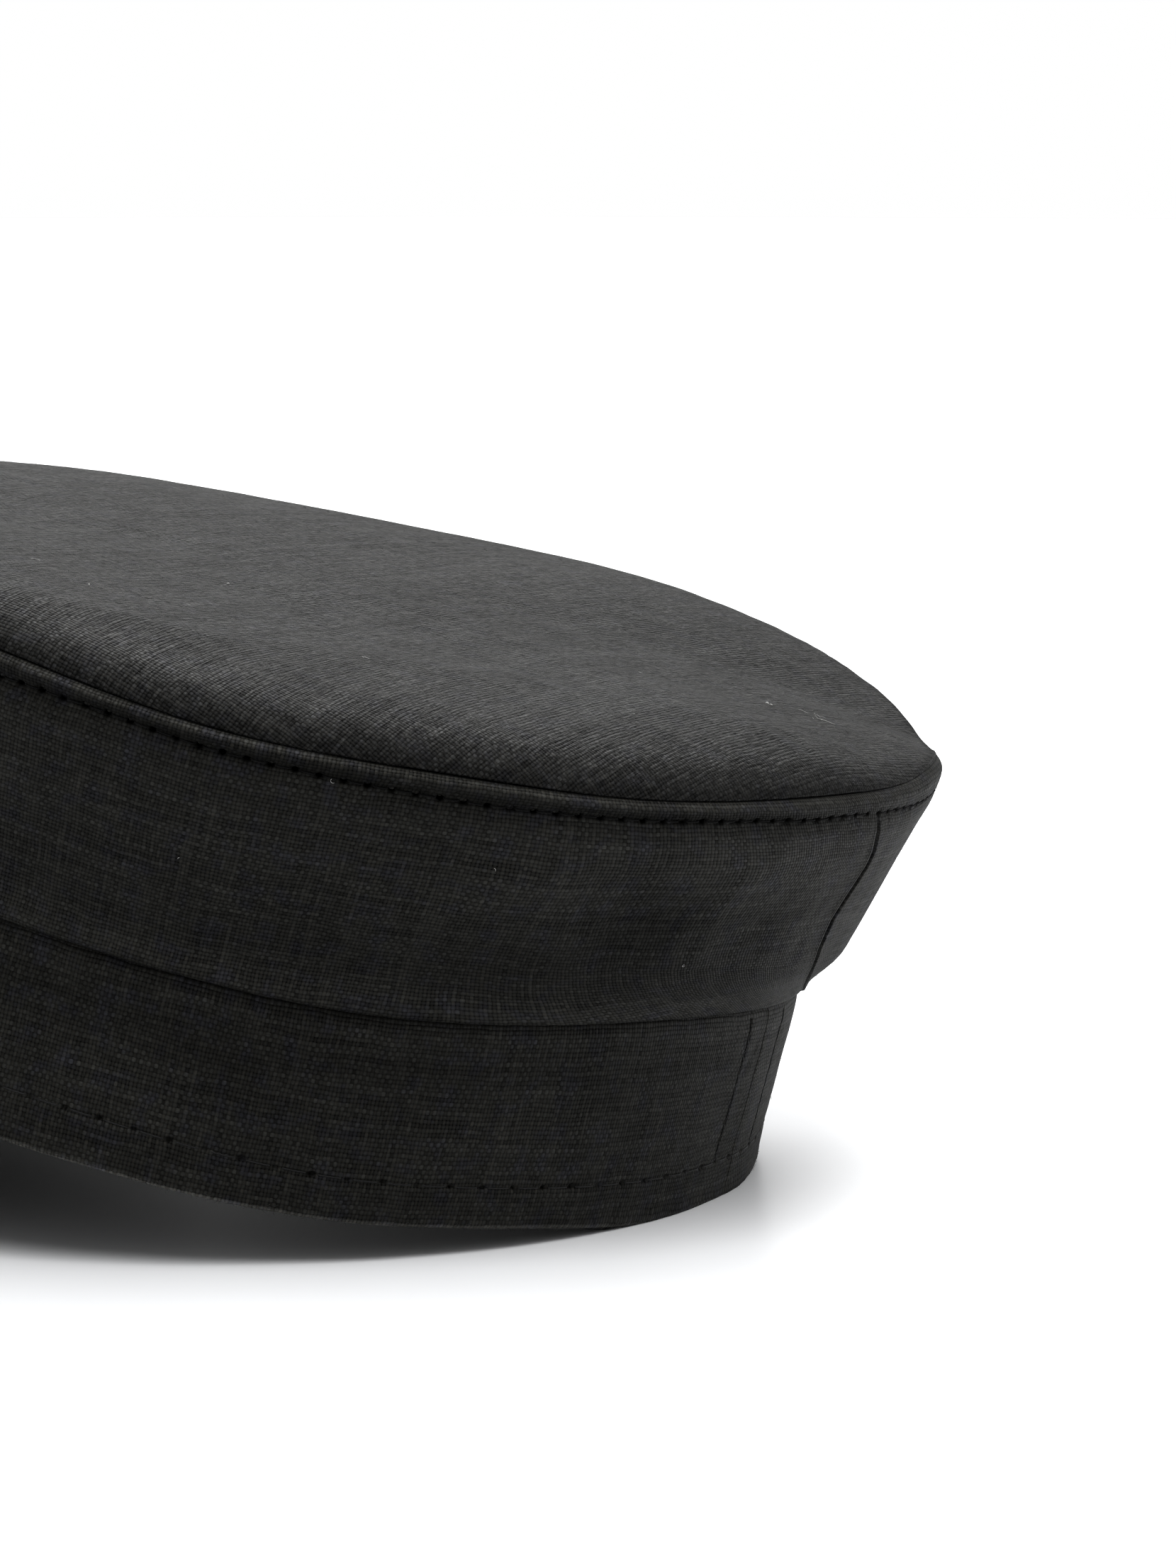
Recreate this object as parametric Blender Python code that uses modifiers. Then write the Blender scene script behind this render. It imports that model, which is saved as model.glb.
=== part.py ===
"""Baker boy hat in black linen: a flat round top, a flared side, an upright
band and a short cloth-covered peak, lying on a surface as it does by itself.

Units are metres in the scene and millimetres in the tables. +Z is up, the
peak points along -Y, the back of the hat is +Y and the wearer's left is +X.
The origin is on the surface, under the middle of the hat's box.

The shape is worked out in the hat's own frame first (Z along the crown's axis,
Z = 0 at the band's lower edge, angles counted from the centre back towards the
wearer's left). The whole hat is then tipped about the back of the band until
the peak's front edge meets the surface.
"""
import math

import bmesh
import bpy
import numpy as np

MM = 0.001

# ---- driving sizes, in millimetres and degrees -----------------------------
# Each ring is an oval: its half widths, how far it sits to the back, its height.
RINGS = {
    #        half_x  half_y  back   height
    "hem":  (89.8,   90.3,   0.0,   0.0),    # the band's lower edge
    "join": (88.1,   91.1,   0.3,   32.8),   # where the band meets the side
    "seam": (100.4,  99.5,   4.5,   73.9),   # where the side meets the top
}
# The ovals are not quite true: soft waves of the radius, in mm.
WAVES = {"sin2": -0.61, "cos3": -0.12, "sin3": 0.12, "cos4": -0.24}

# Cloth never hangs level. Height added to each ring at an angle from the back.
SAG_COLUMNS = ("angle", "seam", "join", "hem")
SAG = (
    (-150,  0.00,  0.00,  0.00),
    (-125, -0.90,  0.00,  0.00),
    (-100, -0.60,  0.00,  0.00),
    (-80,   1.30, -0.10,  0.05),
    (-55,   1.05,  0.25, -0.15),
    (-25,  -1.45, -1.40,  0.80),
    (0,    -0.30,  0.00,  0.85),
    (20,    0.45,  1.45,  0.20),
    (40,   -0.45,  0.40, -0.20),
    (60,   -0.40, -1.00, -1.30),
    (80,   -0.45, -0.30, -0.45),
    (100,   2.20,  0.70,  0.25),
    (130,   1.60,  0.60,  0.00),
    (170,   0.50,  0.20,  0.00),
)

TOP_PUFF = 4.1        # the top panel's crown over its seam
TOP_CONE = 2.0        # and its even rise to the middle
TOP_ROLL = 1.6        # the quick rise where it rolls over the seam
ROLL_LENGTH = 3.5

SIDE_BULGE = 1.9      # how far the side stands out between its edges
SIDE_BULGE_BACK = 3.1 # and at the centre back, where the cloth is loosest
SIDE_RISE = 1.2       # how soon below the seam it gets there
SIDE_FALL = 11.0      # over what height it comes back in to the band
WELT_STAND = 0.35     # the ridge of folded seam under the top's edge
BAND_BULGE = 0.4

# Soft dents and folds of the side: place, size and depth, in mm and degrees.
FOLD_COLUMNS = ("angle", "drop", "along", "across", "turn", "depth")
FOLDS = (
    (31.0,  22.0, 11.0, 5.0,   24.0, -1.10),   # hollow behind the diagonal fold
    (38.0,  14.0, 17.0, 4.5,   24.0,  0.75),   # the fold's light ridge
    (68.0,  22.0, 22.0, 8.0,  -12.0,  0.55),
    (96.0,  18.0, 14.0, 9.0,   10.0, -0.60),
    (150.0, 20.0, 20.0, 9.0,  -15.0, -0.60),
    (-120., 20.0, 24.0, 9.0,   12.0, -0.60),
    (-60.0, 24.0, 20.0, 7.0,  -14.0,  0.50),
)

WALL = {"top": 1.6, "side": 1.6, "band": 2.4, "peak": 3.0}
GAP = 0.3             # left between neighbouring pieces

TILT = 12.76          # the hat's front is raised by the peak under it
SINK = 1.0            # how far the back of the hem settles below its free line
PRESS = 0.7           # cloth this near the surface lies flat on it
PRESS_REACH = 2.5

PEAK_SPAN = 66.0      # half angle of the peak's root, from the centre front
PEAK_DEPTH = 55.2     # from root to front edge at the centre
PEAK_SLOPE = 58.0     # below the band's plane, at the centre
PEAK_SLOPE_SIDE = 66.0
PEAK_FORWARD = 0.55   # 0 spreads like a cone, 1 points straight ahead
PEAK_CROWN = 2.2      # how far its middle arches up
PEAK_ROUND = (2.0, 0.85)    # how its outline turns in towards the corners

AROUND = 80           # steps around the crown and band


# ---- the hat's own frame ---------------------------------------------------
def smooth_table(column):
    """A closed curve through one column of SAG, with even slopes."""
    k = SAG_COLUMNS.index(column)
    x = np.radians([row[0] for row in SAG])
    y = np.array([row[k] for row in SAG], float)
    n = len(x)
    h = np.diff(np.append(x, x[0] + 2 * math.pi))
    # second slopes of the closed cubic spline
    a = np.zeros((n, n))
    b = np.zeros(n)
    for i in range(n):
        hl, hr = h[i - 1], h[i]
        a[i, i - 1] += hl
        a[i, i] += 2 * (hl + hr)
        a[i, (i + 1) % n] += hr
        b[i] = 6 * ((y[(i + 1) % n] - y[i]) / hr - (y[i] - y[i - 1]) / hl)
    m = np.linalg.solve(a, b)

    def curve(t):
        u = np.mod(np.asarray(t, float) - x[0], 2 * math.pi) + x[0]
        i = np.clip(np.searchsorted(x, u, side="right") - 1, 0, n - 1)
        j = (i + 1) % n
        w = h[i]
        p, q = x[i] + w - u, u - x[i]
        return ((m[i] * p ** 3 + m[j] * q ** 3) / (6 * w)
                + (y[i] / w - m[i] * w / 6) * p + (y[j] / w - m[j] * w / 6) * q)
    return curve


LIFT = {name: smooth_table(name) for name in ("seam", "join", "hem")}


def ring(name, t):
    """Points of one of the three rings at angles t."""
    half_x, half_y, back, height = RINGS[name]
    wave = 1 + (WAVES["sin2"] * np.sin(2 * t) + WAVES["cos3"] * np.cos(3 * t)
                + WAVES["sin3"] * np.sin(3 * t) + WAVES["cos4"] * np.cos(4 * t)) / 90.0
    return np.stack([half_x * np.sin(t) * wave, half_y * np.cos(t) * wave + back,
                     height + LIFT[name](t)], -1)


def top_surface(rho, t):
    """The top panel: rho is 0 in the middle and 1 at the seam."""
    edge = ring("seam", t)
    back, height = RINGS["seam"][2:]
    inward = (1 - rho) * 0.5 * (RINGS["seam"][0] + RINGS["seam"][1])
    z = (height + (edge[..., 2] - height) * rho ** 2 + TOP_PUFF * (1 - rho ** 4)
         + TOP_CONE * (1 - rho) + TOP_ROLL * (1 - np.exp(-inward / ROLL_LENGTH)))
    return np.stack([edge[..., 0] * rho, back + (edge[..., 1] - back) * rho, z], -1)


def bump(x):
    return np.exp(-x * x)


def side_surface(v, t):
    """The side panel: v is 0 at the seam and 1 at the band."""
    a, b = ring("seam", t), ring("join", t)
    span = b - a
    length = np.linalg.norm(span, axis=-1)
    p = a + span * v[..., None]
    along = span / length[..., None]
    round_ = np.stack([np.cos(t), -np.sin(t), np.zeros_like(t)], -1)
    out = np.cross(round_, along)
    out /= np.linalg.norm(out, axis=-1)[..., None]
    d = v * length                      # mm below the seam
    e = length - d                      # mm above the band
    back = np.mod(t + math.radians(12.0) + math.pi, 2 * math.pi) - math.pi
    bulge = SIDE_BULGE + (SIDE_BULGE_BACK - SIDE_BULGE) * bump(back / math.radians(45.0))
    stand = bulge * (1 - np.exp(-d / SIDE_RISE)) * np.sin(
        0.5 * math.pi * np.clip(e / SIDE_FALL, 0, 1)) ** 2
    stand += WELT_STAND * bump((d - 1.9) / 1.5) * (1 - np.exp(-d / 0.6))
    for row in FOLDS:
        f = dict(zip(FOLD_COLUMNS, row))
        da = np.mod(t - math.radians(f["angle"]) + math.pi, 2 * math.pi) - math.pi
        x, y = da * 95.0, d - f["drop"]
        c, s = math.cos(math.radians(f["turn"])), math.sin(math.radians(f["turn"]))
        fade = np.clip(d / 8.0, 0, 1) * np.clip(e / 8.0, 0, 1)
        stand += f["depth"] * fade * bump((x * c + y * s) / f["along"]) * bump(
            (-x * s + y * c) / f["across"])
    return p + out * stand[..., None]


def band_surface(v, t):
    """The band: v is 0 at the side and 1 at the hem."""
    a, b = ring("join", t), ring("hem", t)
    p = a + (b - a) * v[..., None]
    out = np.stack([np.sin(t), np.cos(t), np.zeros_like(t)], -1)
    return p + out * (BAND_BULGE * np.sin(math.pi * v))[..., None]


def peak_surface(s, v):
    """The peak's upper side: s runs from -1 to 1 along its root, v from 0 at
    the root to 1 at the front edge."""
    t = math.pi + np.radians(PEAK_SPAN) * s
    root = ring("hem", t) - np.array([0, 0, GAP])
    radial = np.stack([np.sin(t), np.cos(t)], -1)
    ahead = radial * (1 - PEAK_FORWARD) + np.array([0.0, -1.0]) * PEAK_FORWARD
    ahead /= np.linalg.norm(ahead, axis=-1)[..., None]
    depth = np.maximum(PEAK_DEPTH * (1 - np.abs(s) ** PEAK_ROUND[0]) ** PEAK_ROUND[1], 2.0)
    slope = np.radians(PEAK_SLOPE + (PEAK_SLOPE_SIDE - PEAK_SLOPE) * s * s)
    run = depth * v
    flat = run * np.cos(slope)
    drop = run * np.sin(slope)
    arch = PEAK_CROWN * np.sin(math.pi * v) * (depth / PEAK_DEPTH)
    flat = flat + arch * np.sin(slope)
    drop = drop - arch * np.cos(slope)
    return np.stack([root[..., 0] + ahead[..., 0] * flat,
                     root[..., 1] + ahead[..., 1] * flat,
                     root[..., 2] - drop], -1)


def rest(p):
    """From the hat's own frame to the surface it lies on, still in mm."""
    c, s = math.cos(math.radians(TILT)), math.sin(math.radians(TILT))
    pivot = RINGS["hem"][1]
    y = p[..., 1] - pivot
    return np.stack([p[..., 0], pivot + y * c + p[..., 2] * s,
                     -y * s + p[..., 2] * c - SINK], -1)


def press(co, which=slice(None), more=0.0):
    """Lay what touches the surface flat on it. more is for the wall's inner
    edge, which the tilt holds a little higher than its outer edge."""
    z = co[which, 2]
    low = PRESS + more
    co[which, 2] = np.where(z < PRESS_REACH, np.maximum(
        (z - low) * PRESS_REACH / (PRESS_REACH - low), 0.0), z)


# ---- Blender helpers -------------------------------------------------------
def material(name, colour, roughness):
    m = bpy.data.materials.new(name)
    m.use_nodes = True
    b = m.node_tree.nodes["Principled BSDF"]
    b.inputs["Base Color"].default_value = (*colour, 1.0)
    b.inputs["Roughness"].default_value = roughness
    b.inputs["Metallic"].default_value = 0.0
    return m


def sheet_object(name, bm, mat, collection, parent):
    me = bpy.data.meshes.new(name)
    bm.to_mesh(me)
    bm.free()
    ob = bpy.data.objects.new(name, me)
    ob.parent = parent
    collection.objects.link(ob)
    me.materials.append(mat)
    return ob


def set_points(me, co):
    me.vertices.foreach_set("co", np.ascontiguousarray(co * MM, dtype=np.float32).ravel())
    me.update()


def get_points(me):
    co = np.empty(len(me.vertices) * 3, np.float32)
    me.vertices.foreach_get("co", co)
    return co.reshape(-1, 3).astype(float)


def turned_sheet(name, rows, steps, closed_middle):
    """Spin a line of rows about Z. A row's number is kept as the height, so
    that each point can be sent to its place on the cloth afterwards."""
    bm = bmesh.new()
    line = [bm.verts.new((0.0, 1.0, float(i))) for i in range(len(rows))]
    edges = [bm.edges.new((line[i], line[i + 1])) for i in range(len(rows) - 1)]
    bmesh.ops.spin(bm, geom=line + edges, cent=(0, 0, 0), axis=(0, 0, -1),
                   angle=2 * math.pi, steps=steps)
    bmesh.ops.remove_doubles(bm, verts=bm.verts, dist=1e-4)
    if closed_middle:                   # the last row shrinks to one point
        last = [v for v in bm.verts if round(v.co.z) == len(rows) - 1]
        bmesh.ops.pointmerge(bm, verts=last, merge_co=(0, 0, len(rows) - 1))
    return bm


def thicken(ob, wall):
    """Give an open sheet its wall, inward, and return the finished mesh and
    the number of points that were on its outer side."""
    outer = len(ob.data.vertices)
    mod = ob.modifiers.new("wall", "SOLIDIFY")
    mod.thickness = wall * MM
    mod.offset = -1.0
    mod.use_even_offset = True
    mod.use_rim = True
    bpy.context.view_layer.update()
    deps = bpy.context.evaluated_depsgraph_get()
    solid = bpy.data.meshes.new_from_object(ob.evaluated_get(deps))
    ob.modifiers.clear()
    old = ob.data
    ob.data = solid
    solid.name = ob.name
    bpy.data.meshes.remove(old)
    return outer


def face_outward(ob, towards_out):
    """Turn the sheet's faces so that they look the way the cloth's right side
    does, which is where Solidify leaves its outer side."""
    me = ob.data
    f = me.polygons[len(me.polygons) // 2]
    if f.normal.dot(towards_out(f.center)) < 0:
        me.flip_normals()


def own_frame(co_m):
    """From the resting place back to the hat's own frame, in mm."""
    c, s = math.cos(math.radians(TILT)), math.sin(math.radians(TILT))
    pivot = RINGS["hem"][1]
    y, z = co_m[:, 1] / MM - pivot, co_m[:, 2] / MM + SINK
    return np.stack([co_m[:, 0] / MM, pivot + y * c - z * s, y * s + z * c], -1)


def angle_of(p, back=0.0):
    return np.arctan2(p[:, 0], p[:, 1] - back)


def build_round(name, surface, rows, wall, mat, collection, parent, middle=False,
                below=None, above=None):
    """One piece that runs all the way round. below and above name the rings
    that its cut edges keep clear of."""
    bm = turned_sheet(name, rows, AROUND, middle)
    bm.verts.ensure_lookup_table()
    co = np.array([v.co for v in bm.verts], float)
    t = np.arctan2(co[:, 0], co[:, 1])
    values = np.array(rows, float)[np.clip(np.round(co[:, 2]).astype(int), 0, len(rows) - 1)]
    ob = sheet_object(name, bm, mat, collection, parent)
    p = surface(values, t)
    first, last = values == rows[0], values == rows[-1]
    if below:                           # the row that meets a ring above it
        p[first, 2] -= GAP / 2
    if above:                           # the row that meets a ring below it
        edge = last if not middle else first
        p[edge, 2] += GAP / 2
    set_points(ob.data, rest(p))
    up = (lambda c: c.__class__((0, 0, 1))) if middle else (lambda c: c.__class__((c.x, c.y, 0)))
    face_outward(ob, up)
    outer = thicken(ob, wall)
    q = own_frame(get_points(ob.data))
    inner = np.arange(len(q)) >= outer
    if below:
        top = ring(below, angle_of(q))[:, 2] - GAP / 2
        q[inner, 2] = np.minimum(q[inner, 2], top[inner])
    if above:
        low = ring(above, angle_of(q, RINGS[above][2]))[:, 2] + GAP / 2
        q[inner, 2] = np.maximum(q[inner, 2], low[inner])
    w = rest(q)
    if name == "band":
        press(w, ~inner)
        press(w, inner, wall * math.sin(math.radians(TILT)))
    set_points(ob.data, w)
    ob.data.shade_smooth()
    return ob


def build_peak(mat, collection, parent):
    across, deep = 36, 6
    bm = bmesh.new()
    bmesh.ops.create_grid(bm, x_segments=across, y_segments=deep, size=1.0)
    bm.verts.ensure_lookup_table()
    co = np.array([v.co for v in bm.verts], float)
    ob = sheet_object("peak", bm, mat, collection, parent)
    # closer steps towards the two corners, where the outline turns in
    s = np.sin(co[:, 0] * math.pi / 2)
    set_points(ob.data, rest(peak_surface(s, (co[:, 1] + 1) / 2)))
    face_outward(ob, lambda c: c.__class__((0, -1, 1)))
    thicken(ob, WALL["peak"])
    w = get_points(ob.data) / MM
    press(w)
    set_points(ob.data, w)
    ob.data.shade_smooth()
    return ob


def main():
    for old in list(bpy.data.objects):
        bpy.data.objects.remove(old, do_unlink=True)
    hat = bpy.data.collections.new("baker_boy_hat")
    bpy.context.scene.collection.children.link(hat)
    origin = bpy.data.objects.new("baker_boy_hat", None)
    hat.objects.link(origin)

    linen = {k: material(k + "_linen", c, 0.9) for k, c in {
        "crown_top": (0.018, 0.018, 0.018), "crown_side": (0.015, 0.015, 0.016),
        "band": (0.014, 0.014, 0.015), "peak": (0.015, 0.015, 0.016)}.items()}

    pieces = [
        build_round("crown_top", top_surface,
                    [1.0, 0.985, 0.965, 0.93, 0.86, 0.74, 0.56, 0.32, 0.0],
                    WALL["top"], linen["crown_top"], hat, origin, middle=True, above="seam"),
        build_round("crown_side", side_surface,
                    [0.0, 0.015, 0.045, 0.09, 0.14, 0.28, 0.46, 0.64, 0.78, 0.86, 0.93, 0.97, 1.0],
                    WALL["side"], linen["crown_side"], hat, origin, below="seam", above="join"),
        build_round("band", band_surface, [0.0, 0.25, 0.5, 0.75, 1.0],
                    WALL["band"], linen["band"], hat, origin, below="join"),
        build_peak(linen["peak"], hat, origin),
    ]

    # Centre the hat's box over the origin. The lowest points are at Z = 0.
    co = np.concatenate([get_points(ob.data) for ob in pieces])
    middle = (co.min(axis=0) + co.max(axis=0)) / 2
    for ob in pieces:
        p = get_points(ob.data)
        p[:, 0] -= middle[0]
        p[:, 1] -= middle[1]
        ob.data.vertices.foreach_set("co", p.astype(np.float32).ravel())
        ob.data.update()
    print("moved by", (-middle[0] / MM, -middle[1] / MM), "mm")


main()
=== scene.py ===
"""Looks of the baker boy hat: black linen panels with their weave, seams,
stitches, folds and lint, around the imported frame. Metres, +Z up."""

import math

import bpy
import numpy as np
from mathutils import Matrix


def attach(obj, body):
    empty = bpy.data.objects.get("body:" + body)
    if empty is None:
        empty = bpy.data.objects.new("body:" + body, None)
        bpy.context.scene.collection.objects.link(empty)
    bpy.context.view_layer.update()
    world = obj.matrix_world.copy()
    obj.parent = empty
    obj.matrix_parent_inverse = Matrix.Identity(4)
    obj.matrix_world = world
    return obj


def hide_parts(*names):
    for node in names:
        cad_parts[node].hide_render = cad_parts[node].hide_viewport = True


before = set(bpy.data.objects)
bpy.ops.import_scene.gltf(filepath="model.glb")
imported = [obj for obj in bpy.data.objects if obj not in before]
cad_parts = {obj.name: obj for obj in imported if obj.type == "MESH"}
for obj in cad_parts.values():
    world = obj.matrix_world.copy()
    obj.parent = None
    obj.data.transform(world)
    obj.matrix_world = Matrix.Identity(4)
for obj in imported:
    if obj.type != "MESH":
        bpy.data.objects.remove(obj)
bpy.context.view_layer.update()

MM = 0.001
TAU = 2 * math.pi
SHIFT = np.array([0.15511, 1.85072, 0.0])      # mm, the hat's own frame to the row's

# ---- the hat's shape, as in the solid model, in mm and degrees --------------
RINGS = {"hem": (89.8, 90.3, 0.0, 0.0), "join": (88.1, 91.1, 0.3, 32.8), "seam": (100.4, 99.5, 4.5, 73.9)}
WAVES = {"sin2": -0.61, "cos3": -0.12, "sin3": 0.12, "cos4": -0.24}
SAG_COLUMNS = ("angle", "seam", "join", "hem")
SAG = (
    (-150, 0.00, 0.00, 0.00), (-125, -0.90, 0.00, 0.00), (-100, -0.60, 0.00, 0.00),
    (-80, 1.30, -0.10, 0.05), (-55, 1.05, 0.25, -0.15), (-25, -1.45, -1.40, 0.80),
    (0, -0.30, 0.00, 0.85), (20, 0.45, 1.45, 0.20), (40, -0.45, 0.40, -0.20),
    (60, -0.40, -1.00, -1.30), (80, -0.45, -0.30, -0.45), (100, 2.20, 0.70, 0.25),
    (130, 1.60, 0.60, 0.00), (170, 0.50, 0.20, 0.00),
)
TOP_PUFF, TOP_CONE, TOP_ROLL, ROLL_LENGTH = 4.1, 2.0, 1.6, 3.5
SIDE_BULGE, SIDE_BULGE_BACK, SIDE_RISE, SIDE_FALL, BAND_BULGE = 1.9, 3.1, 1.2, 11.0, 0.4
RIDGE_STAND, RIDGE_STAND_BACK, RIDGE_GROOVE = 1.80, 2.6, 0.95
BAND_SINK = 0.75
FOLD_COLUMNS = ("angle", "drop", "along", "across", "turn", "depth")
FOLDS = (
    (36.0, 18.0, 11.5, 8.5, 20.0, -1.05),
    (48.5, 16.5, 16.0, 4.5, 32.0, 0.45),
    (24.0, 13.0, 9.0, 6.0, 20.0, 0.30),
    (62.0, 27.0, 20.0, 7.0, -6.0, -0.45),
    (90.0, 24.0, 18.0, 7.0, 4.0, -0.35),
    (74.0, 13.0, 18.0, 8.0, -8.0, 0.25),
    (150.0, 20.0, 20.0, 9.0, -15.0, -0.60),
    (-120., 20.0, 24.0, 9.0, 12.0, -0.60),
    (-60.0, 24.0, 20.0, 7.0, -14.0, 0.50),
)
SOFT_FOLDS = (
    (34.5, 25.0, 11.0, 9.0, 10.0, -0.55),
    (27.0, 10.5, 14.0, 5.0, 12.0, 0.38),
    (50.0, 14.5, 13.0, 5.5, 15.0, 0.32),
    (20.0, 30.0, 10.0, 7.0, -10.0, -0.35),
    (47.0, 32.0, 14.0, 5.0, 0.0, -0.25),
    (93.0, 24.0, 9.0, 14.0, 0.0, -0.25),
    (120.0, 18.0, 14.0, 8.0, 10.0, 0.40),
    (-30.0, 22.0, 12.0, 9.0, -12.0, 0.40),
    (-90.0, 16.0, 16.0, 7.0, 8.0, 0.45),
    (-150.0, 24.0, 16.0, 8.0, -8.0, -0.45),
)
TILT, SINK, PRESS, PRESS_REACH = 12.76, 1.0, 0.7, 2.5
PEAK_SPAN, PEAK_DEPTH, PEAK_SLOPE, PEAK_SLOPE_SIDE = 66.0, 55.2, 58.0, 66.0
PEAK_FORWARD, PEAK_CROWN, PEAK_ROUND = 0.55, 2.2, (2.0, 0.85)
WALL = {"top": 1.6, "side": 1.6, "band": 2.4, "peak": 3.0}
GAP = 0.3


def closed_curve(angles, values):
    """A smooth closed curve through values at angles in degrees."""
    x, y = np.radians(angles), np.array(values, float)
    n = len(x)
    h = np.diff(np.append(x, x[0] + TAU))
    a, b = np.zeros((n, n)), np.zeros(n)
    for i in range(n):
        hl, hr = h[i - 1], h[i]
        a[i, i - 1] += hl
        a[i, i] += 2 * (hl + hr)
        a[i, (i + 1) % n] += hr
        b[i] = 6 * ((y[(i + 1) % n] - y[i]) / hr - (y[i] - y[i - 1]) / hl)
    m = np.linalg.solve(a, b)

    def curve(t):
        u = np.mod(np.asarray(t, float) - x[0], TAU) + x[0]
        i = np.clip(np.searchsorted(x, u, side="right") - 1, 0, n - 1)
        j = (i + 1) % n
        w = h[i]
        p, q = x[i] + w - u, u - x[i]
        return ((m[i] * p ** 3 + m[j] * q ** 3) / (6 * w)
                + (y[i] / w - m[i] * w / 6) * p + (y[j] / w - m[j] * w / 6) * q)
    return curve


LIFT = {k: closed_curve([r[0] for r in SAG], [r[SAG_COLUMNS.index(k)] for r in SAG])
        for k in ("seam", "join", "hem")}


CLIMB = 1.7


def climb(t):
    """The crown seam climbs a little more just before the back right."""
    return CLIMB * bump(wrap(t + math.radians(13.0)) / math.radians(11.0))


def ring(name, t):
    half_x, half_y, back, height = RINGS[name]
    if name == "seam":
        height = height + climb(t) - 1.3 * bump(wrap(t + math.radians(28.0)) / math.radians(8.5))
    wave = 1 + (WAVES["sin2"] * np.sin(2 * t) + WAVES["cos3"] * np.cos(3 * t)
                + WAVES["sin3"] * np.sin(3 * t) + WAVES["cos4"] * np.cos(4 * t)) / 90.0
    return np.stack([half_x * np.sin(t) * wave, half_y * np.cos(t) * wave + back,
                     height + LIFT[name](t)], -1)


def rest(p):
    """From the hat's own frame to where it lies, in mm."""
    c, s = math.cos(math.radians(TILT)), math.sin(math.radians(TILT))
    pivot = RINGS["hem"][1]
    y = p[..., 1] - pivot
    return np.stack([p[..., 0], pivot + y * c + p[..., 2] * s,
                     -y * s + p[..., 2] * c - SINK], -1) + SHIFT


def press(z, more=0.0):
    low = PRESS + more
    return np.where(z < PRESS_REACH, np.maximum((z - low) * PRESS_REACH / (PRESS_REACH - low), 0.0), z)


def bump(x):
    return np.exp(-x * x)


def step(x):
    return 1 / (1 + np.exp(-np.clip(x, -40, 40)))


def wrap(a):
    return np.mod(a + math.pi, TAU) - math.pi


def ripple(t, d, seed, waves, low, high, reach):
    """Even random unevenness around the hat: whole waves low..high around it,
    and lengths of at least reach mm down it."""
    rng = np.random.RandomState(seed)
    total = np.zeros(np.broadcast(t, d).shape)
    for _ in range(waves):
        k = rng.randint(low, high + 1)
        q = rng.uniform(-1, 1) * TAU / reach
        total += np.sin(k * t + q * d + rng.uniform(0, TAU)) * rng.uniform(0.4, 1.0)
    return total / math.sqrt(waves)


# ---- meshes ------------------------------------------------------------------
def make_mesh(name, verts, quads, uv, tris=(), tri_uv=(), wear_and_painted_light=None):
    """verts in mm in the row's frame; quads (n,4) and uv (n,4,2), tris (m,3).
    wear_and_painted_light says for each vertex how much lighter (+) or darker (-) the cloth's colour is made: some
    wear, mostly painted light and shade."""
    quads = np.asarray(quads, np.int64).reshape(-1, 4)
    tris = np.asarray(tris, np.int64).reshape(-1, 3)
    v = np.asarray(verts, float)
    faces3 = np.concatenate([quads[:, [0, 1, 2]], quads[:, [0, 2, 3]], tris])
    p0, p1, p2 = v[faces3[:, 0]], v[faces3[:, 1]], v[faces3[:, 2]]
    flip = np.einsum("ij,ij->i", p0, np.cross(p1, p2)).sum() < 0
    uvq = np.asarray(uv, float).reshape(-1, 4, 2)
    uvt = np.asarray(tri_uv, float).reshape(-1, 3, 2)
    if flip:
        quads, uvq = quads[:, ::-1], uvq[:, ::-1]
        tris, uvt = tris[:, ::-1], uvt[:, ::-1]
    me = bpy.data.meshes.new(name)
    me.vertices.add(len(v))
    me.vertices.foreach_set("co", (v * MM).astype(np.float32).ravel())
    loops = np.concatenate([quads.ravel(), tris.ravel()]).astype(np.int32)
    me.loops.add(len(loops))
    me.loops.foreach_set("vertex_index", loops)
    n, m = len(quads), len(tris)
    me.polygons.add(n + m)
    starts = np.concatenate([np.arange(n) * 4, n * 4 + np.arange(m) * 3]).astype(np.int32)
    me.polygons.foreach_set("loop_start", starts)
    me.update(calc_edges=True)
    me.validate()
    layer = me.uv_layers.new(name="Cloth")
    layer.data.foreach_set("uv", np.concatenate([uvq.ravel(), uvt.ravel()]).astype(np.float32))
    if wear_and_painted_light is not None:
        wear_light_layer = me.uv_layers.new(name="WearAndPaintedLight")
        w = np.asarray(wear_and_painted_light, float).ravel()
        w = np.append(w, np.zeros(len(v) - len(w)))
        wear_light_layer.data.foreach_set("uv", np.stack([w[loops], 0 * w[loops]], -1).astype(np.float32).ravel())
    me.shade_smooth()
    ob = bpy.data.objects.new(name, me)
    bpy.context.scene.collection.objects.link(ob)
    return ob


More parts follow.
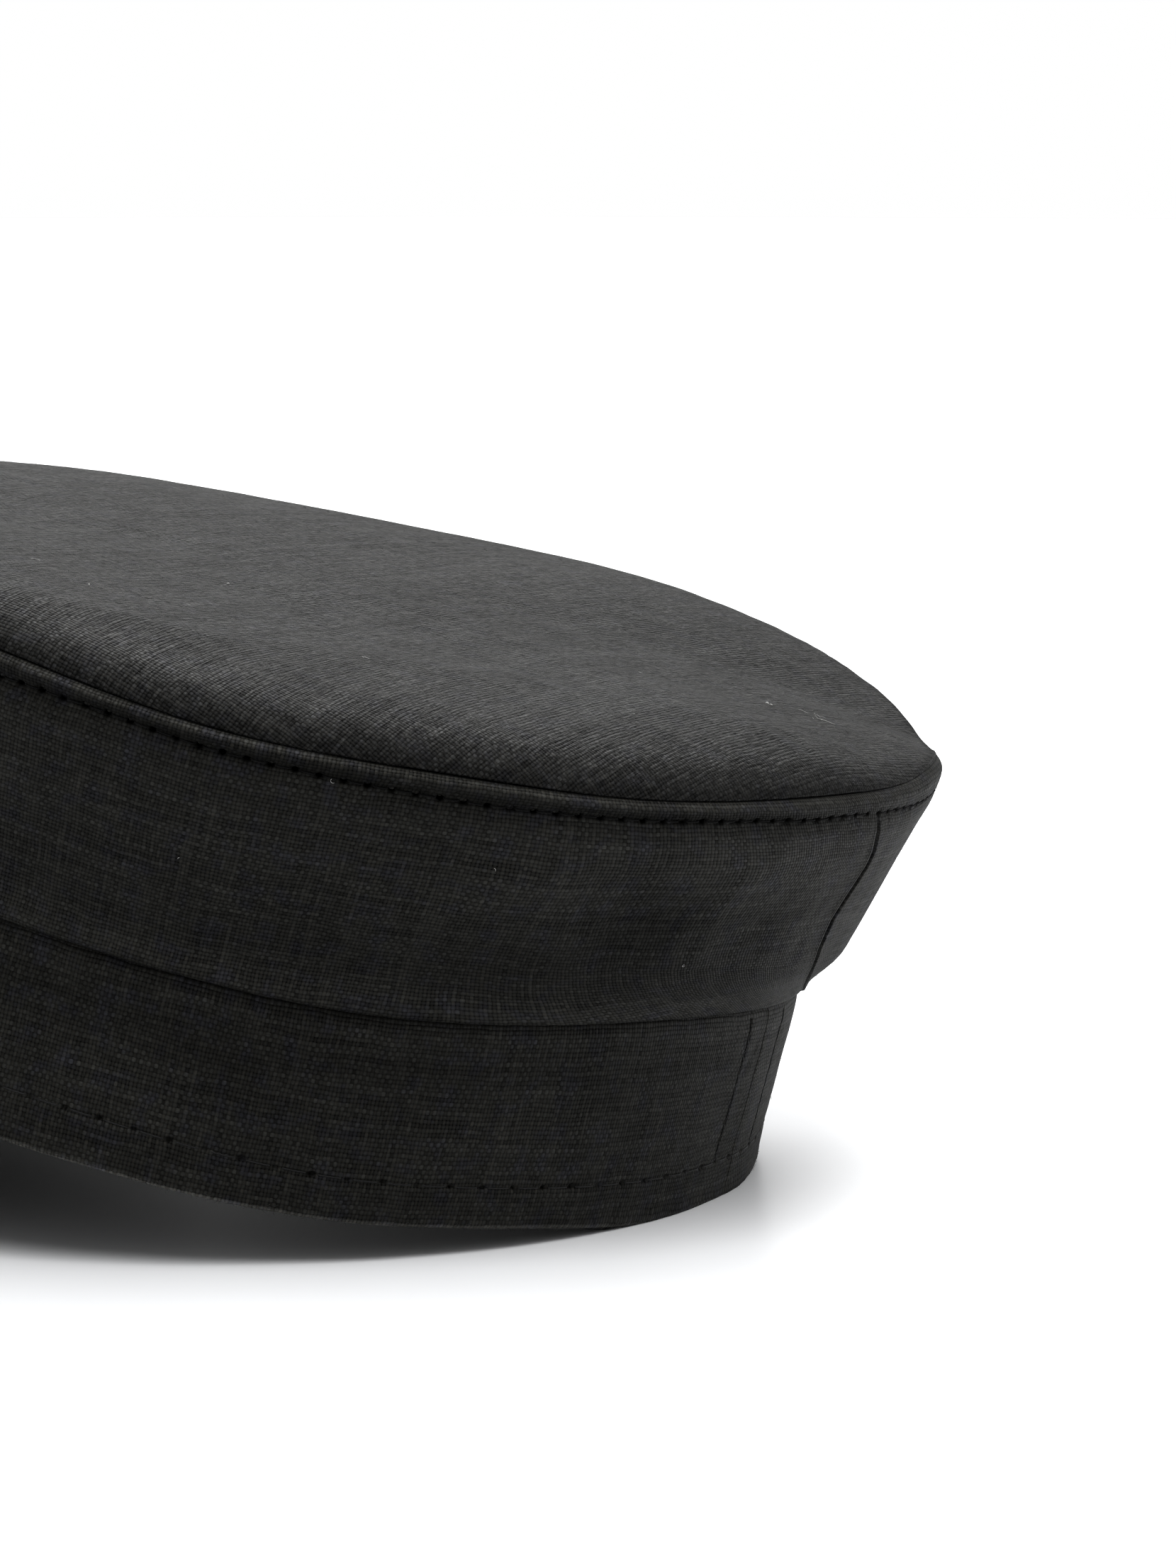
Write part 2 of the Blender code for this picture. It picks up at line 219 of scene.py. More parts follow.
def ring_mesh(name, P, U, V, caps=False, wear_and_painted_light=None):
    """P (rows, cols, 3) closed around; rows closed too unless caps. U and V
    (rows, cols + 1) are the cloth's own coordinates in mm."""
    rows, cols = P.shape[:2]
    idx = np.arange(rows * cols).reshape(rows, cols)
    nxt = np.roll(idx, -1, axis=1)
    if caps:
        a, b, c, d = idx[:-1], nxt[:-1], nxt[1:], idx[1:]
        up, dn = slice(0, rows - 1), slice(1, rows)
        ui = (U[up, :-1], U[up, 1:], U[dn, 1:], U[dn, :-1])
        vi = (V[up, :-1], V[up, 1:], V[dn, 1:], V[dn, :-1])
    else:
        a, b, c, d = idx, nxt, np.roll(nxt, -1, 0), np.roll(idx, -1, 0)
        Un, Vn = np.roll(U, -1, 0), np.roll(V, -1, 0)
        ui = (U[:, :-1], U[:, 1:], Un[:, 1:], Un[:, :-1])
        vi = (V[:, :-1], V[:, 1:], Vn[:, 1:], Vn[:, :-1])
    quads = np.stack([a, b, c, d], -1).reshape(-1, 4)
    uv = np.stack([np.stack(ui, -1), np.stack(vi, -1)], -1).reshape(-1, 4, 2)
    verts = P.reshape(-1, 3)
    if not caps:
        return make_mesh(name, verts, quads, uv, wear_and_painted_light=wear_and_painted_light)
    first, last = len(verts), len(verts) + 1
    verts = np.concatenate([verts, P[0].mean(0)[None], P[-1].mean(0)[None]])
    tris, tuv = [], []
    for centre, row, k in ((first, idx[0], 0), (last, idx[-1], -1)):
        r2 = np.roll(row, -1)
        tri = np.stack([np.full(cols, centre), r2, row] if k == 0 else [np.full(cols, centre), row, r2], -1)
        mid = np.stack([np.full(cols, U[k, :-1].mean()), np.full(cols, V[k, :-1].mean())], -1)
        e1 = np.stack([U[k, 1:], V[k, 1:]], -1)
        e0 = np.stack([U[k, :-1], V[k, :-1]], -1)
        tris.append(tri)
        tuv.append(np.stack([mid, e1, e0] if k == 0 else [mid, e0, e1], 1))
    return make_mesh(name, verts, quads, uv, np.concatenate(tris), np.concatenate(tuv), wear_and_painted_light=wear_and_painted_light)


def run_down(P):
    """Length in mm along the rows of a sheet of points, from its first row on."""
    gone = np.linalg.norm(np.diff(P, axis=0), axis=-1)
    return np.concatenate([np.zeros((1, P.shape[1])), np.cumsum(gone, 0)])


def tubes_mesh(name, paths, radius, flat=1.0, sides=6, ups=None, lengths=None):
    """Many short closed threads as one mesh. paths (n, k, 3) in mm; radius is
    a number or (n, k); flat squeezes them towards the cloth along ups."""
    paths = np.asarray(paths, float)
    n, k = paths.shape[:2]
    tang = np.gradient(paths, axis=1)
    tang /= np.linalg.norm(tang, axis=-1)[..., None] + 1e-12
    ups = np.broadcast_to(np.array([0, 0, 1.0]) if ups is None else ups, paths.shape)
    side = np.cross(tang, ups)
    side /= np.linalg.norm(side, axis=-1)[..., None] + 1e-12
    up = np.cross(side, tang)
    rad = np.broadcast_to(np.asarray(radius, float), (n, k))
    ang = np.arange(sides) * TAU / sides
    ringp = (side[:, :, None] * np.cos(ang)[None, None, :, None]
             + up[:, :, None] * (np.sin(ang) * flat)[None, None, :, None]) * rad[..., None, None]
    body = paths[:, :, None] + ringp                      # n, k, sides, 3
    ends = np.stack([paths[:, 0], paths[:, -1]], 1)       # n, 2, 3
    verts = np.concatenate([body.reshape(n, -1, 3), ends], 1)
    per = k * sides + 2
    base = (np.arange(n) * per)[:, None, None]
    g = np.arange(k * sides).reshape(k, sides)
    gn = np.roll(g, -1, 1)
    q = np.stack([g[:-1], gn[:-1], gn[1:], g[1:]], -1).reshape(-1, 4)
    quads = (base + q[None]).reshape(-1, 4)
    t0 = np.stack([np.full(sides, k * sides), gn[0], g[0]], -1)
    t1 = np.stack([np.full(sides, k * sides + 1), g[-1], gn[-1]], -1)
    tri = np.concatenate([t0, t1])
    tris = (base + tri[None]).reshape(-1, 3)
    run = np.linspace(0, 1, k)
    uq = np.zeros((k - 1, sides, 4, 2))
    for c, (dk, ds) in enumerate(((0, 0), (0, 1), (1, 1), (1, 0))):
        uq[..., c, 0] = (run[:-1] if dk == 0 else run[1:])[:, None] * 3.0
        uq[..., c, 1] = ((np.arange(sides) + ds) / sides)[None, :]
    offs = np.arange(n) * 7.0
    uq = np.broadcast_to(uq.reshape(1, -1, 4, 2), (n, (k - 1) * sides, 4, 2)).copy()
    uq[..., 0] += offs[:, None, None]
    ut = np.zeros((n, 2 * sides, 3, 2))
    ut[..., 0] += offs[:, None, None]
    return make_mesh(name, verts.reshape(-1, 3), quads, uq.reshape(-1, 4, 2), tris, ut.reshape(-1, 3, 2))


# ---- crown top ---------------------------------------------------------------
TOP_RADIUS = 0.5 * (RINGS["seam"][0] + RINGS["seam"][1])
OVER, OVER_BACK = 0.12, 0.0             # how far the rolled edge stands out past the seam
EDGE_LIFT, EDGE_LIFT_BACK = 0.45, 0.25  # and how high over it that edge turns back
SKIRT, SKIRT_BACK = 0.30, 0.3           # radius of that turn
# the camera-side half is puffed up over its seam: height and reach, twice
PUFFS = ((1.8, 2.2), (2.6, 9.0))
PUFF_MID, PUFF_HALF, PUFF_SOFT, PUFF_FADE = 76.0, 68.0, 6.0, 45.0


def near_side(t):
    """1 on the half of the hat's edge that is puffed up, 0 on the rest."""
    away = np.abs(np.degrees(wrap(t - math.radians(PUFF_MID))))
    return step((PUFF_HALF - away) / PUFF_SOFT)


def top_point(rho, t, extra=0.0):
    edge = ring("seam", t)
    back, height = RINGS["seam"][2:]
    near = near_side(t)
    over = OVER_BACK + (OVER - OVER_BACK) * near
    rho = np.where(rho > 1, 1 + (rho - 1) * np.maximum(over, 0.01) / OVER, rho)
    inward = (1 - rho) * TOP_RADIUS
    run = np.maximum(inward + over, 0)
    r = np.clip(rho, 0, 1)
    lift = EDGE_LIFT_BACK + (EDGE_LIFT - EDGE_LIFT_BACK) * near
    # flatter on the back right, where the seam comes up to it
    flat = bump(wrap(t + math.radians(30.0)) / math.radians(16.0))
    flat = flat * bump(inward / 30.0)
    roll = TOP_ROLL * (1 - 0.9 * flat) * (1 - np.exp(-run / ROLL_LENGTH))
    z = (height + (edge[..., 2] - height - climb(t)) * r ** 2 + climb(t) * np.exp(-inward / 7.0) * (rho > 0.2)
         + TOP_PUFF * (1 - r ** 4) + TOP_CONE * (1 - r) + roll + lift * (1 - flat) * np.exp(-run / 4.0))
    side = near * np.exp(-(inward / PUFF_FADE) ** 2)
    for high, reach in PUFFS:
        z = z + side * high * (1 - np.exp(-run / reach))
    return np.stack([edge[..., 0] * rho, back + (edge[..., 1] - back) * rho, z + extra], -1)


def top_skirt(t, turn):
    """Where the rolled edge turns back under itself; turn runs from 0 to 1."""
    p = top_point(1 + OVER / TOP_RADIUS + 0 * t, t)
    q = top_point(1 + 0.9 * OVER / TOP_RADIUS + 0 * t, t)
    out = p - q
    rise = -out[..., 2].copy()
    out[..., 2] = 0
    flat = np.linalg.norm(out, axis=-1)
    out /= flat[..., None]
    slope = np.arctan2(rise, flat)
    radius = SKIRT_BACK + (SKIRT - SKIRT_BACK) * near_side(t)
    a = slope + (math.radians(172) - slope) * turn
    o = radius * (np.sin(a) - np.sin(slope))
    z = radius * (np.cos(a) - np.cos(slope))
    return p + out * o[..., None] + np.stack([0 * z, 0 * z, z], -1)


def near_line(x, y, places):
    """Distance in mm from a line through places."""
    best = np.full(np.shape(x), 1e9)
    for (x0, y0), (x1, y1) in zip(places[:-1], places[1:]):
        dx, dy = x1 - x0, y1 - y0
        k = np.clip(((x - x0) * dx + (y - y0) * dy) / (dx * dx + dy * dy), 0, 1)
        best = np.minimum(best, np.hypot(x - x0 - k * dx, y - y0 - k * dy))
    return best


# soft light ridges and small puckers in the top: places, height, half width
TOP_RIDGES = (
    (((88.5, -18.6), (83.7, -2.3), (76.6, 13.3)), 0.40, 4.5),
    (((29.5, -7.4), (18.9, 5.8), (9.5, 19.6)), 0.22, 5.0),
    (((21.4, 88.3), (24.9, 93.3)), -0.32, 1.1),
    (((26.5, 87.0), (29.0, 91.5)), 0.16, 1.6),
    (((-26.3, 90.0), (-26.3, 97.0)), -0.25, 1.2),
    (((62.0, 20.0), (52.0, 42.0), (40.0, 60.0)), 0.25, 7.0),
    (((40.0, -60.0), (30.0, -20.0)), 0.25, 8.0),
)


def top_streaks(x, y):
    """Long faint ridges in the pressed cloth, nearly front to back."""
    rng = np.random.RandomState(8)
    total = np.zeros(x.shape)
    for _ in range(16):
        a = math.radians(rng.normal(-20, 9))
        across = x * math.cos(a) + y * math.sin(a) * -1
        along = x * math.sin(a) + y * math.cos(a)
        k = TAU / rng.uniform(7.0, 22.0)
        total += np.sin(k * across + rng.uniform(0, TAU) + 0.8 * np.sin(along * TAU / rng.uniform(50, 110) + rng.uniform(0, TAU)))
    total *= 0.035 / 4.0
    for places, high, wide in TOP_RIDGES:
        total += high * bump(near_line(x, y, places) / wide)
    return total


TOP_GRAIN = math.radians(-10.0)


def build_top():
    cols = 169 * 6
    t = np.arange(cols + 1) / cols * TAU
    inward = np.concatenate([[-OVER, -0.04, 0.07, 0.28, 0.6, 1.0, 1.5, 2.1, 2.8, 3.6, 4.5, 5.5, 6.6, 7.8, 9.2, 10.8, 12.6],
                             np.linspace(14.8, TOP_RADIUS - 1.2, 36)])
    rho_out = 1 - inward[::-1] / TOP_RADIUS                # middle first, edge last
    R, T = np.meshgrid(rho_out, t, indexing="ij")
    inn = np.maximum((1 - R) * TOP_RADIUS, 0.0)
    # soft unevenness, and tiny gathers where the seam pulls
    wav = 0.16 * ripple(T, inn, 3, 12, 3, 16, 26.0) * np.clip(R * 1.6, 0, 1)
    wav += 0.07 * ripple(T, inn, 4, 10, 24, 70, 12.0) * np.exp(-inn / 9.0)
    flat = top_point(R, T)
    wav += top_streaks(flat[..., 0], flat[..., 1]) * (1 - np.exp(-inn / 4.0))
    wav += 0.07 * np.cos(169 * T + 1.3 * np.sin(3 * T)) * np.exp(-inn / 1.6) * np.clip(inn / 0.5, 0, 1)
    P = top_point(R, T, wav)
    S = np.stack([top_skirt(t, k) + np.array([0, 0, 1.0]) * wav[-1][:, None] for k in (0.22, 0.42, 0.60, 0.78, 1.0)])
    # under side
    rho_in = 1 - np.array([1.1, 2.0, 3.5, 6.0, 12.0, 30.0, 60.0, TOP_RADIUS - 1.2]) / TOP_RADIUS
    Ri, Ti = np.meshgrid(rho_in, t, indexing="ij")
    inn_i = (1 - Ri) * TOP_RADIUS
    Q = top_point(Ri, Ti)
    Q[..., 2] -= WALL["top"]
    A = np.concatenate([P, S, Q], 0)
    # the cloth's threads lie askew to the hat
    ca, sa = math.cos(TOP_GRAIN), math.sin(TOP_GRAIN)
    body = np.concatenate([P, S], 0)
    flat_run = np.hypot(body[..., 0], body[..., 1] - RINGS["seam"][2])
    flat_run = flat_run[:1] + np.concatenate([[0 * t], np.cumsum(np.abs(np.diff(flat_run, axis=0)), 0)])
    smooth = top_point(R, T)
    long_run = run_down(np.concatenate([smooth, S], 0)) + flat_run[:1]
    grow = long_run / np.hypot(body[..., 0], body[..., 1] - RINGS["seam"][2])
    grow = np.concatenate([grow, np.ones_like(Ri)], 0)
    X, Y = A[..., 0] * grow, RINGS["seam"][2] + (A[..., 1] - RINGS["seam"][2]) * grow
    U = X * ca + Y * sa
    V = Y * ca - X * sa
    edge_in = np.concatenate([inn, -np.ones_like(S[..., 0]), np.full_like(Ri, -1.0)], 0)
    # painted shade: the top's colour is darkened along its rolled edge down into the crease; then a painted highlight
    # on the near side's roll, about 7 mm in
    wear_and_painted_light = -0.32 * bump(edge_in / 0.8) - 0.10 * bump(edge_in / 4.0)
    TA = np.broadcast_to(t, A.shape[:2])
    wear_and_painted_light += 0.22 * bump(np.degrees(wrap(TA - math.radians(90.0))) / 14.0) * bump((edge_in - 7.0) / 6.0)
    W = rest(A[:, :-1])
    ob = ring_mesh("crown_top_cloth", W, U, V, caps=True, wear_and_painted_light=wear_and_painted_light[:, :-1])
    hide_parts("crown_top")
    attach(ob, "root")
    return ob


# ---- crown side --------------------------------------------------------------
STITCHES_CROWN = 169
HOLE_T0 = math.radians(18.3)                     # one of the topstitch's holes
SIDE_SEAM_T0 = math.radians(8.0)                 # the back seam at the stitch row
# the back seam of the side: how far it has swung from T0 at each depth, in degrees
SEAM_PATH = ((0.0, 1.2), (0.06, 0.0), (0.12, -0.8), (0.233, -3.0), (0.30, -3.6), (0.366, -3.4), (0.45, -2.9),
             (0.547, -2.4), (0.667, -3.2), (0.75, -4.6), (0.82, -7.2), (0.88, -10.5), (0.94, -15.0), (1.0, -20.0))
# the topstitch's distance under the crown seam, in mm
STITCH_ROW = closed_curve(
    [-150, -100, -60, -30, 0, 12, 17, 23, 30, 45, 60, 73, 80, 86, 92, 98, 120, 160],
    [2.9, 2.9, 2.9, 2.9, 3.2, 3.2, 3.4, 3.3, 3.1, 3.4, 3.75, 3.2, 3.05, 2.9, 3.1, 3.7, 3.4, 3.1])
STITCH_T = TAU / STITCHES_CROWN


def STITCH_DROP(t):
    return STITCH_ROW(t) + 0.85 * climb(t)


HOLES = np.random.RandomState(41).uniform(-1, 1, (3, STITCHES_CROWN))   # size, depth, place


def side_frame(t):
    a, b = ring("seam", t), ring("join", t)
    span = b - a
    length = np.linalg.norm(span, axis=-1)
    along = span / length[..., None]
    round_ = np.stack([np.cos(t), -np.sin(t), np.zeros_like(t)], -1)
    out = np.cross(round_, along)
    out /= np.linalg.norm(out, axis=-1)[..., None]
    return a, along, out, round_, length


def seam_swing(v):
    xs, ys = zip(*SEAM_PATH)
    return np.radians(np.interp(v, xs, ys))


def side_point(d, t, inner=False):
    """The side's outer face at d mm below the crown seam."""
    a, along, out, round_, length = side_frame(t)
    v = d / length
    e = length - d
    back = bump(wrap(t + math.radians(12.0)) / math.radians(45.0))
    bulge = SIDE_BULGE + (SIDE_BULGE_BACK - SIDE_BULGE) * back
    # away from the back the cloth falls in slowly and turns out again at the band
    fall = SIDE_FALL + 19.0 * (1 - np.sqrt(back))
    hold = np.sin(0.5 * math.pi * np.clip(e / fall, 0, 1)) ** 2
    if inner:
        w = np.minimum(WALL["side"], 0.35 + 0.5 * np.minimum(d, e))
        stand = bulge * (1 - np.exp(-np.maximum(d, 0) / SIDE_RISE)) * hold - w
        return a + along * d[..., None] + out * stand[..., None]
    # the folded seam under the top's edge is a soft ridge with a steep shoulder,
    # pulled in again by its topstitch
    ds = STITCH_DROP(t)
    end = bump(wrap(t + math.radians(8.0)) / math.radians(26.0))
    ridge = RIDGE_STAND + (RIDGE_STAND_BACK - RIDGE_STAND) * end
    stand = (ridge * (1 - np.exp(-np.maximum(d, 0) / (0.34 + 0.50 * end)))
             + (bulge - ridge) * (1 - np.exp(-np.maximum(d - 0.6 * ds, 0) / 2.6))) * hold
    stand -= 0.10 * np.exp(-np.maximum(d, 0) / 0.30)
    stand -= RIDGE_GROOVE * (1 - 0.6 * end) * bump((d - ds - 0.1) / (0.50 * ds))
    stand += 0.55 * climb(t) / CLIMB * bump((d - 4.5) / 3.5)
    for row in FOLDS + SOFT_FOLDS:
        f = dict(zip(FOLD_COLUMNS, row))
        x, y = wrap(t - math.radians(f["angle"])) * 95.0, d - f["drop"]
        c, s = math.cos(math.radians(f["turn"])), math.sin(math.radians(f["turn"]))
        fade = np.clip(d / 8.0, 0, 1) * np.clip(e / 8.0, 0, 1)
        stand += f["depth"] * fade * bump((x * c + y * s) / f["along"]) * bump((-x * s + y * c) / f["across"])
    # the lower edge rolls in over the band
    stand += 0.35 * bump((e - 1.2) / 1.4) + 0.7 * (1 - back) * bump((e - 0.8) / 3.4) - 1.2 * np.exp(-(e + 0.35) / 0.4)
    # unevenness of soft cloth
    calm = np.clip(d / 4.0, 0, 1) * np.clip(e / 4.0, 0, 1)
    stand += 0.16 * calm * ripple(t, d, 11, 14, 5, 30, 30.0)
    stand += 0.05 * ripple(t, d, 12, 14, 30, 110, 9.0) * np.clip(d / 1.5, 0, 1)
    # topstitch: a shallow line, small gathers and the needle's holes
    y = d - ds
    phase = (t - HOLE_T0) / STITCH_T
    near = phase - np.round(phase)
    wide = STITCH_T * 98.0
    size, deep, place = HOLES[:, np.mod(np.round(phase).astype(int), STITCHES_CROWN)]
    small = step(-(np.degrees(wrap(t)) - 10.0) / 4.0)             # towards the back the holes are smaller
    size, deep = (1 + 0.25 * size) * (1 - 0.25 * small), (0.72 + 0.28 * deep) * (1 - 0.35 * small)
    pull = 1 + 0.35 * np.sin(5 * t + 0.4) + 0.25 * np.sin(17 * t)
    stand -= 0.10 * bump(y / 0.5)
    stand -= 0.035 * pull * np.cos(TAU * near) * (bump((y - 1.4) / 1.2) + bump((y + 1.1) / 0.8))
    stand -= 1.15 * deep * bump((near * wide / (0.60 * size)) ** 2 + ((y - 0.12 * place) / (0.42 * size)) ** 2)
    # the back seam: the right-hand panel laps over the left one
    x = wrap(t - SIDE_SEAM_T0 - seam_swing(v)) * 95.0            # + towards the wearer's left
    show = np.clip((d - ds) / 2.5, 0, 1)
    right = np.minimum(x, 0)
    stand += show * (0.40 * step(-(x + 0.05) / 0.10) * np.exp(right / 5.0)
                     - 0.45 * bump(x / 0.28) + 0.14 * bump((x - 0.75) / 0.45))
    p = a + along * d[..., None] + out * stand[..., None]
    lap = show * 0.20 * step(-(x + 0.05) / 0.12) * np.exp(right / 1.0)
    return p + round_ * lap[..., None]


# painted shade (-) and painted light (+) of the soft folds on the side: degrees, mm down, half widths
SIDE_PAINTED_SHADE = (
    (35.0, 25.0, 7.5, 9.0, -0.32), (20.0, 29.0, 8.0, 7.5, -0.22), (47.0, 31.5, 9.0, 4.5, -0.14),
    (27.0, 10.5, 9.0, 5.0, 0.20), (49.0, 14.0, 8.0, 6.0, 0.17), (55.0, 22.0, 6.0, 4.5, 0.18),
    (68.0, 18.0, 9.0, 8.0, 0.08), (93.0, 26.0, 7.0, 13.0, -0.07), (10.0, 33.0, 5.0, 6.0, -0.10),
    (-60.0, 20.0, 15.0, 10.0, -0.08), (-110.0, 26.0, 18.0, 9.0, 0.08), (150.0, 18.0, 16.0, 10.0, -0.08),
)
# the same on the band, by share of its height
BAND_PAINTED_SHADE = (
    (72.0, 0.42, 6.0, 0.16, -0.13), (80.0, 0.55, 6.0, 0.2, 0.13), (41.0, 0.52, 9.0, 0.14, 0.13),
    (52.0, 0.72, 8.0, 0.10, 0.08), (25.0, 0.50, 5.0, 0.2, -0.06), (6.0, 0.85, 7.0, 0.16, 0.14),
    (-70.0, 0.5, 18.0, 0.25, 0.07), (-140.0, 0.6, 18.0, 0.25, -0.07), (130.0, 0.5, 16.0, 0.25, 0.07),
)


def patches(rows, t, down):
    total = 0.0
    for angle, place, wide, tall, much in rows:
        total = total + much * bump(np.degrees(wrap(t - math.radians(angle))) / wide) * bump((down - place) / tall)
    return total


def side_columns():
    """Angles at the stitch row, from the back seam on: fine at each needle
    hole and at the seam."""
    offs = np.array([-0.38, -0.20, -0.10, -0.045, 0.0, 0.045, 0.10, 0.20])
    k = np.arange(STITCHES_CROWN)
    t = HOLE_T0 + (k[:, None] + offs[None]) * STITCH_T
    seam_mm = np.array([-2.2, -1.5, -1.0, -0.65, -0.42, -0.25, -0.12, 0.0, 0.12, 0.25, 0.42, 0.7, 1.1, 1.6, 2.3])
    u = np.mod(t.ravel() - SIDE_SEAM_T0, TAU)
    u = np.sort(np.concatenate([u, np.mod(seam_mm / 98.0, TAU)]))
    keep = np.concatenate([[True], np.diff(u) * 98.0 > 0.07])
    return u[keep]


def build_side():
    u = side_columns()
    u = np.append(u, u[0] + TAU)
    t_row = SIDE_SEAM_T0 + u
    away = np.minimum(np.mod(u, TAU), TAU - np.mod(u, TAU))
    hold = 0.5 + 0.5 * np.cos(np.clip(away / math.radians(55), 0, 1) * math.pi)
    ds = STITCH_DROP(t_row)
    length = side_frame(t_row)[4]
    above = np.array([0.0, 0.035, 0.075, 0.12, 0.17, 0.23, 0.30, 0.38, 0.48, 0.58, 0.69]) # parts of ds
    near = np.array([-0.66, -0.42, -0.24, -0.10, 0.0, 0.10, 0.24, 0.42, 0.70, 1.1, 1.7])
    below = np.concatenate([np.linspace(0.03, 0.90, 24), [0.925, 0.945, 0.96, 0.972, 0.982, 0.99, 0.996, 1.002, 1.008]])
    rows = [f * ds for f in above] + [ds + n for n in near] + [
        ds + 1.7 + f * (length - ds - 1.7) for f in below]
    D = np.array(rows)
    v = D / length
    T = t_row + seam_swing(v) * hold
    D = D + (side_frame(T)[4] - length) * v ** 2
    P = side_point(D, T)
    P[0, :, 2] -= GAP / 2
    inner_v = np.array([0.995, 0.95, 0.85, 0.65, 0.4, 0.2, 0.06, 0.012])
    Di = inner_v[:, None] * length
    Ti = t_row + 0 * Di + seam_swing(inner_v)[:, None] * hold
    Q = side_point(Di, Ti, inner=True)
    A = np.concatenate([P, Q], 0)
    DD, TT = np.concatenate([D, Di]), np.concatenate([T, Ti])
    U = np.broadcast_to(u * 94.0, TT.shape)                # the threads follow the seam beside it
    between = np.abs((np.mod(t_row - HOLE_T0, STITCH_T) / STITCH_T) - 0.62) < 0.02
    between &= (away * 95.0 > 2.6)
    down = run_down(P[:, between])
    down = (np.roll(down, 1, 1) + down + np.roll(down, -1, 1)) / 3
    down = np.stack([np.interp(u, u[between], row, period=TAU) for row in down])
    V = np.concatenate([down, Di]) + 1.2 * np.sin(2 * TT + 0.5)
    # painted light and shade, with some wear: the fold under the crease painted lighter as worn and lit, the band down
    # to the stitches and the stitched groove painted darker as shade, a darker band a little below the stitches, the
    # lower edge painted lighter as lit from below, the side a little darker all over, and beside the back seam a
    # painted highlight on the lap with painted shade in its groove
    end = bump(wrap(T + math.radians(8.0)) / math.radians(26.0))
    x = wrap(T - SIDE_SEAM_T0 - seam_swing(v)) * 95.0
    show = np.clip((D - ds) / 2.5, 0, 1)
    wear_and_painted_light = (-0.10 + patches(SIDE_PAINTED_SHADE, T, D) + 0.26 * bump((D - 40.2) / 2.6) - 0.08 * bump((D - 5.5) / 2.0)
            + 0.50 * (1 - 0.75 * end) * bump((D - 0.48) / 0.38) - 0.25 * bump((D - ds) / 0.7)
            - 0.40 * (1 - end) * bump((D - 0.64 * ds) / (0.30 * ds))
            + show * (0.55 * bump((x - 0.62) / 0.22) - 0.35 * bump(x / 0.22)))
    # painted shade in the needle holes
    near_hole = (T - HOLE_T0) / STITCH_T
    near_hole = (near_hole - np.round(near_hole)) * STITCH_T * 98.0
    wear_and_painted_light -= 0.75 * (1 - 0.55 * end) * bump((near_hole / 0.62) ** 2 + ((D - ds) / 0.50) ** 2)
    wear_and_painted_light = np.concatenate([wear_and_painted_light, 0 * Di], 0)
    ob = ring_mesh("crown_side_cloth", rest(A[:, :-1]), U, V, wear_and_painted_light=wear_and_painted_light[:, :-1])
    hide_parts("crown_side")
    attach(ob, "root")
    return ob


# ---- band --------------------------------------------------------------------
STITCHES_HEM = 101
HEM_T = TAU / STITCHES_HEM
HEM_T0 = math.radians(2.8)
HEM_ROW = closed_curve([-150, -90, -30, 10, 46, 67, 88, 130], [0.785, 0.785, 0.79, 0.79, 0.792, 0.775, 0.752, 0.77])
BAND_HEIGHT = 32.8
BAND_SEAM = math.radians(2.0)
BACK_ROWS = (math.radians(6.8), math.radians(-4.0))       # the two rows of stitches beside the seam
BACK_HOLES = 0.05 + 0.088 * np.arange(9)


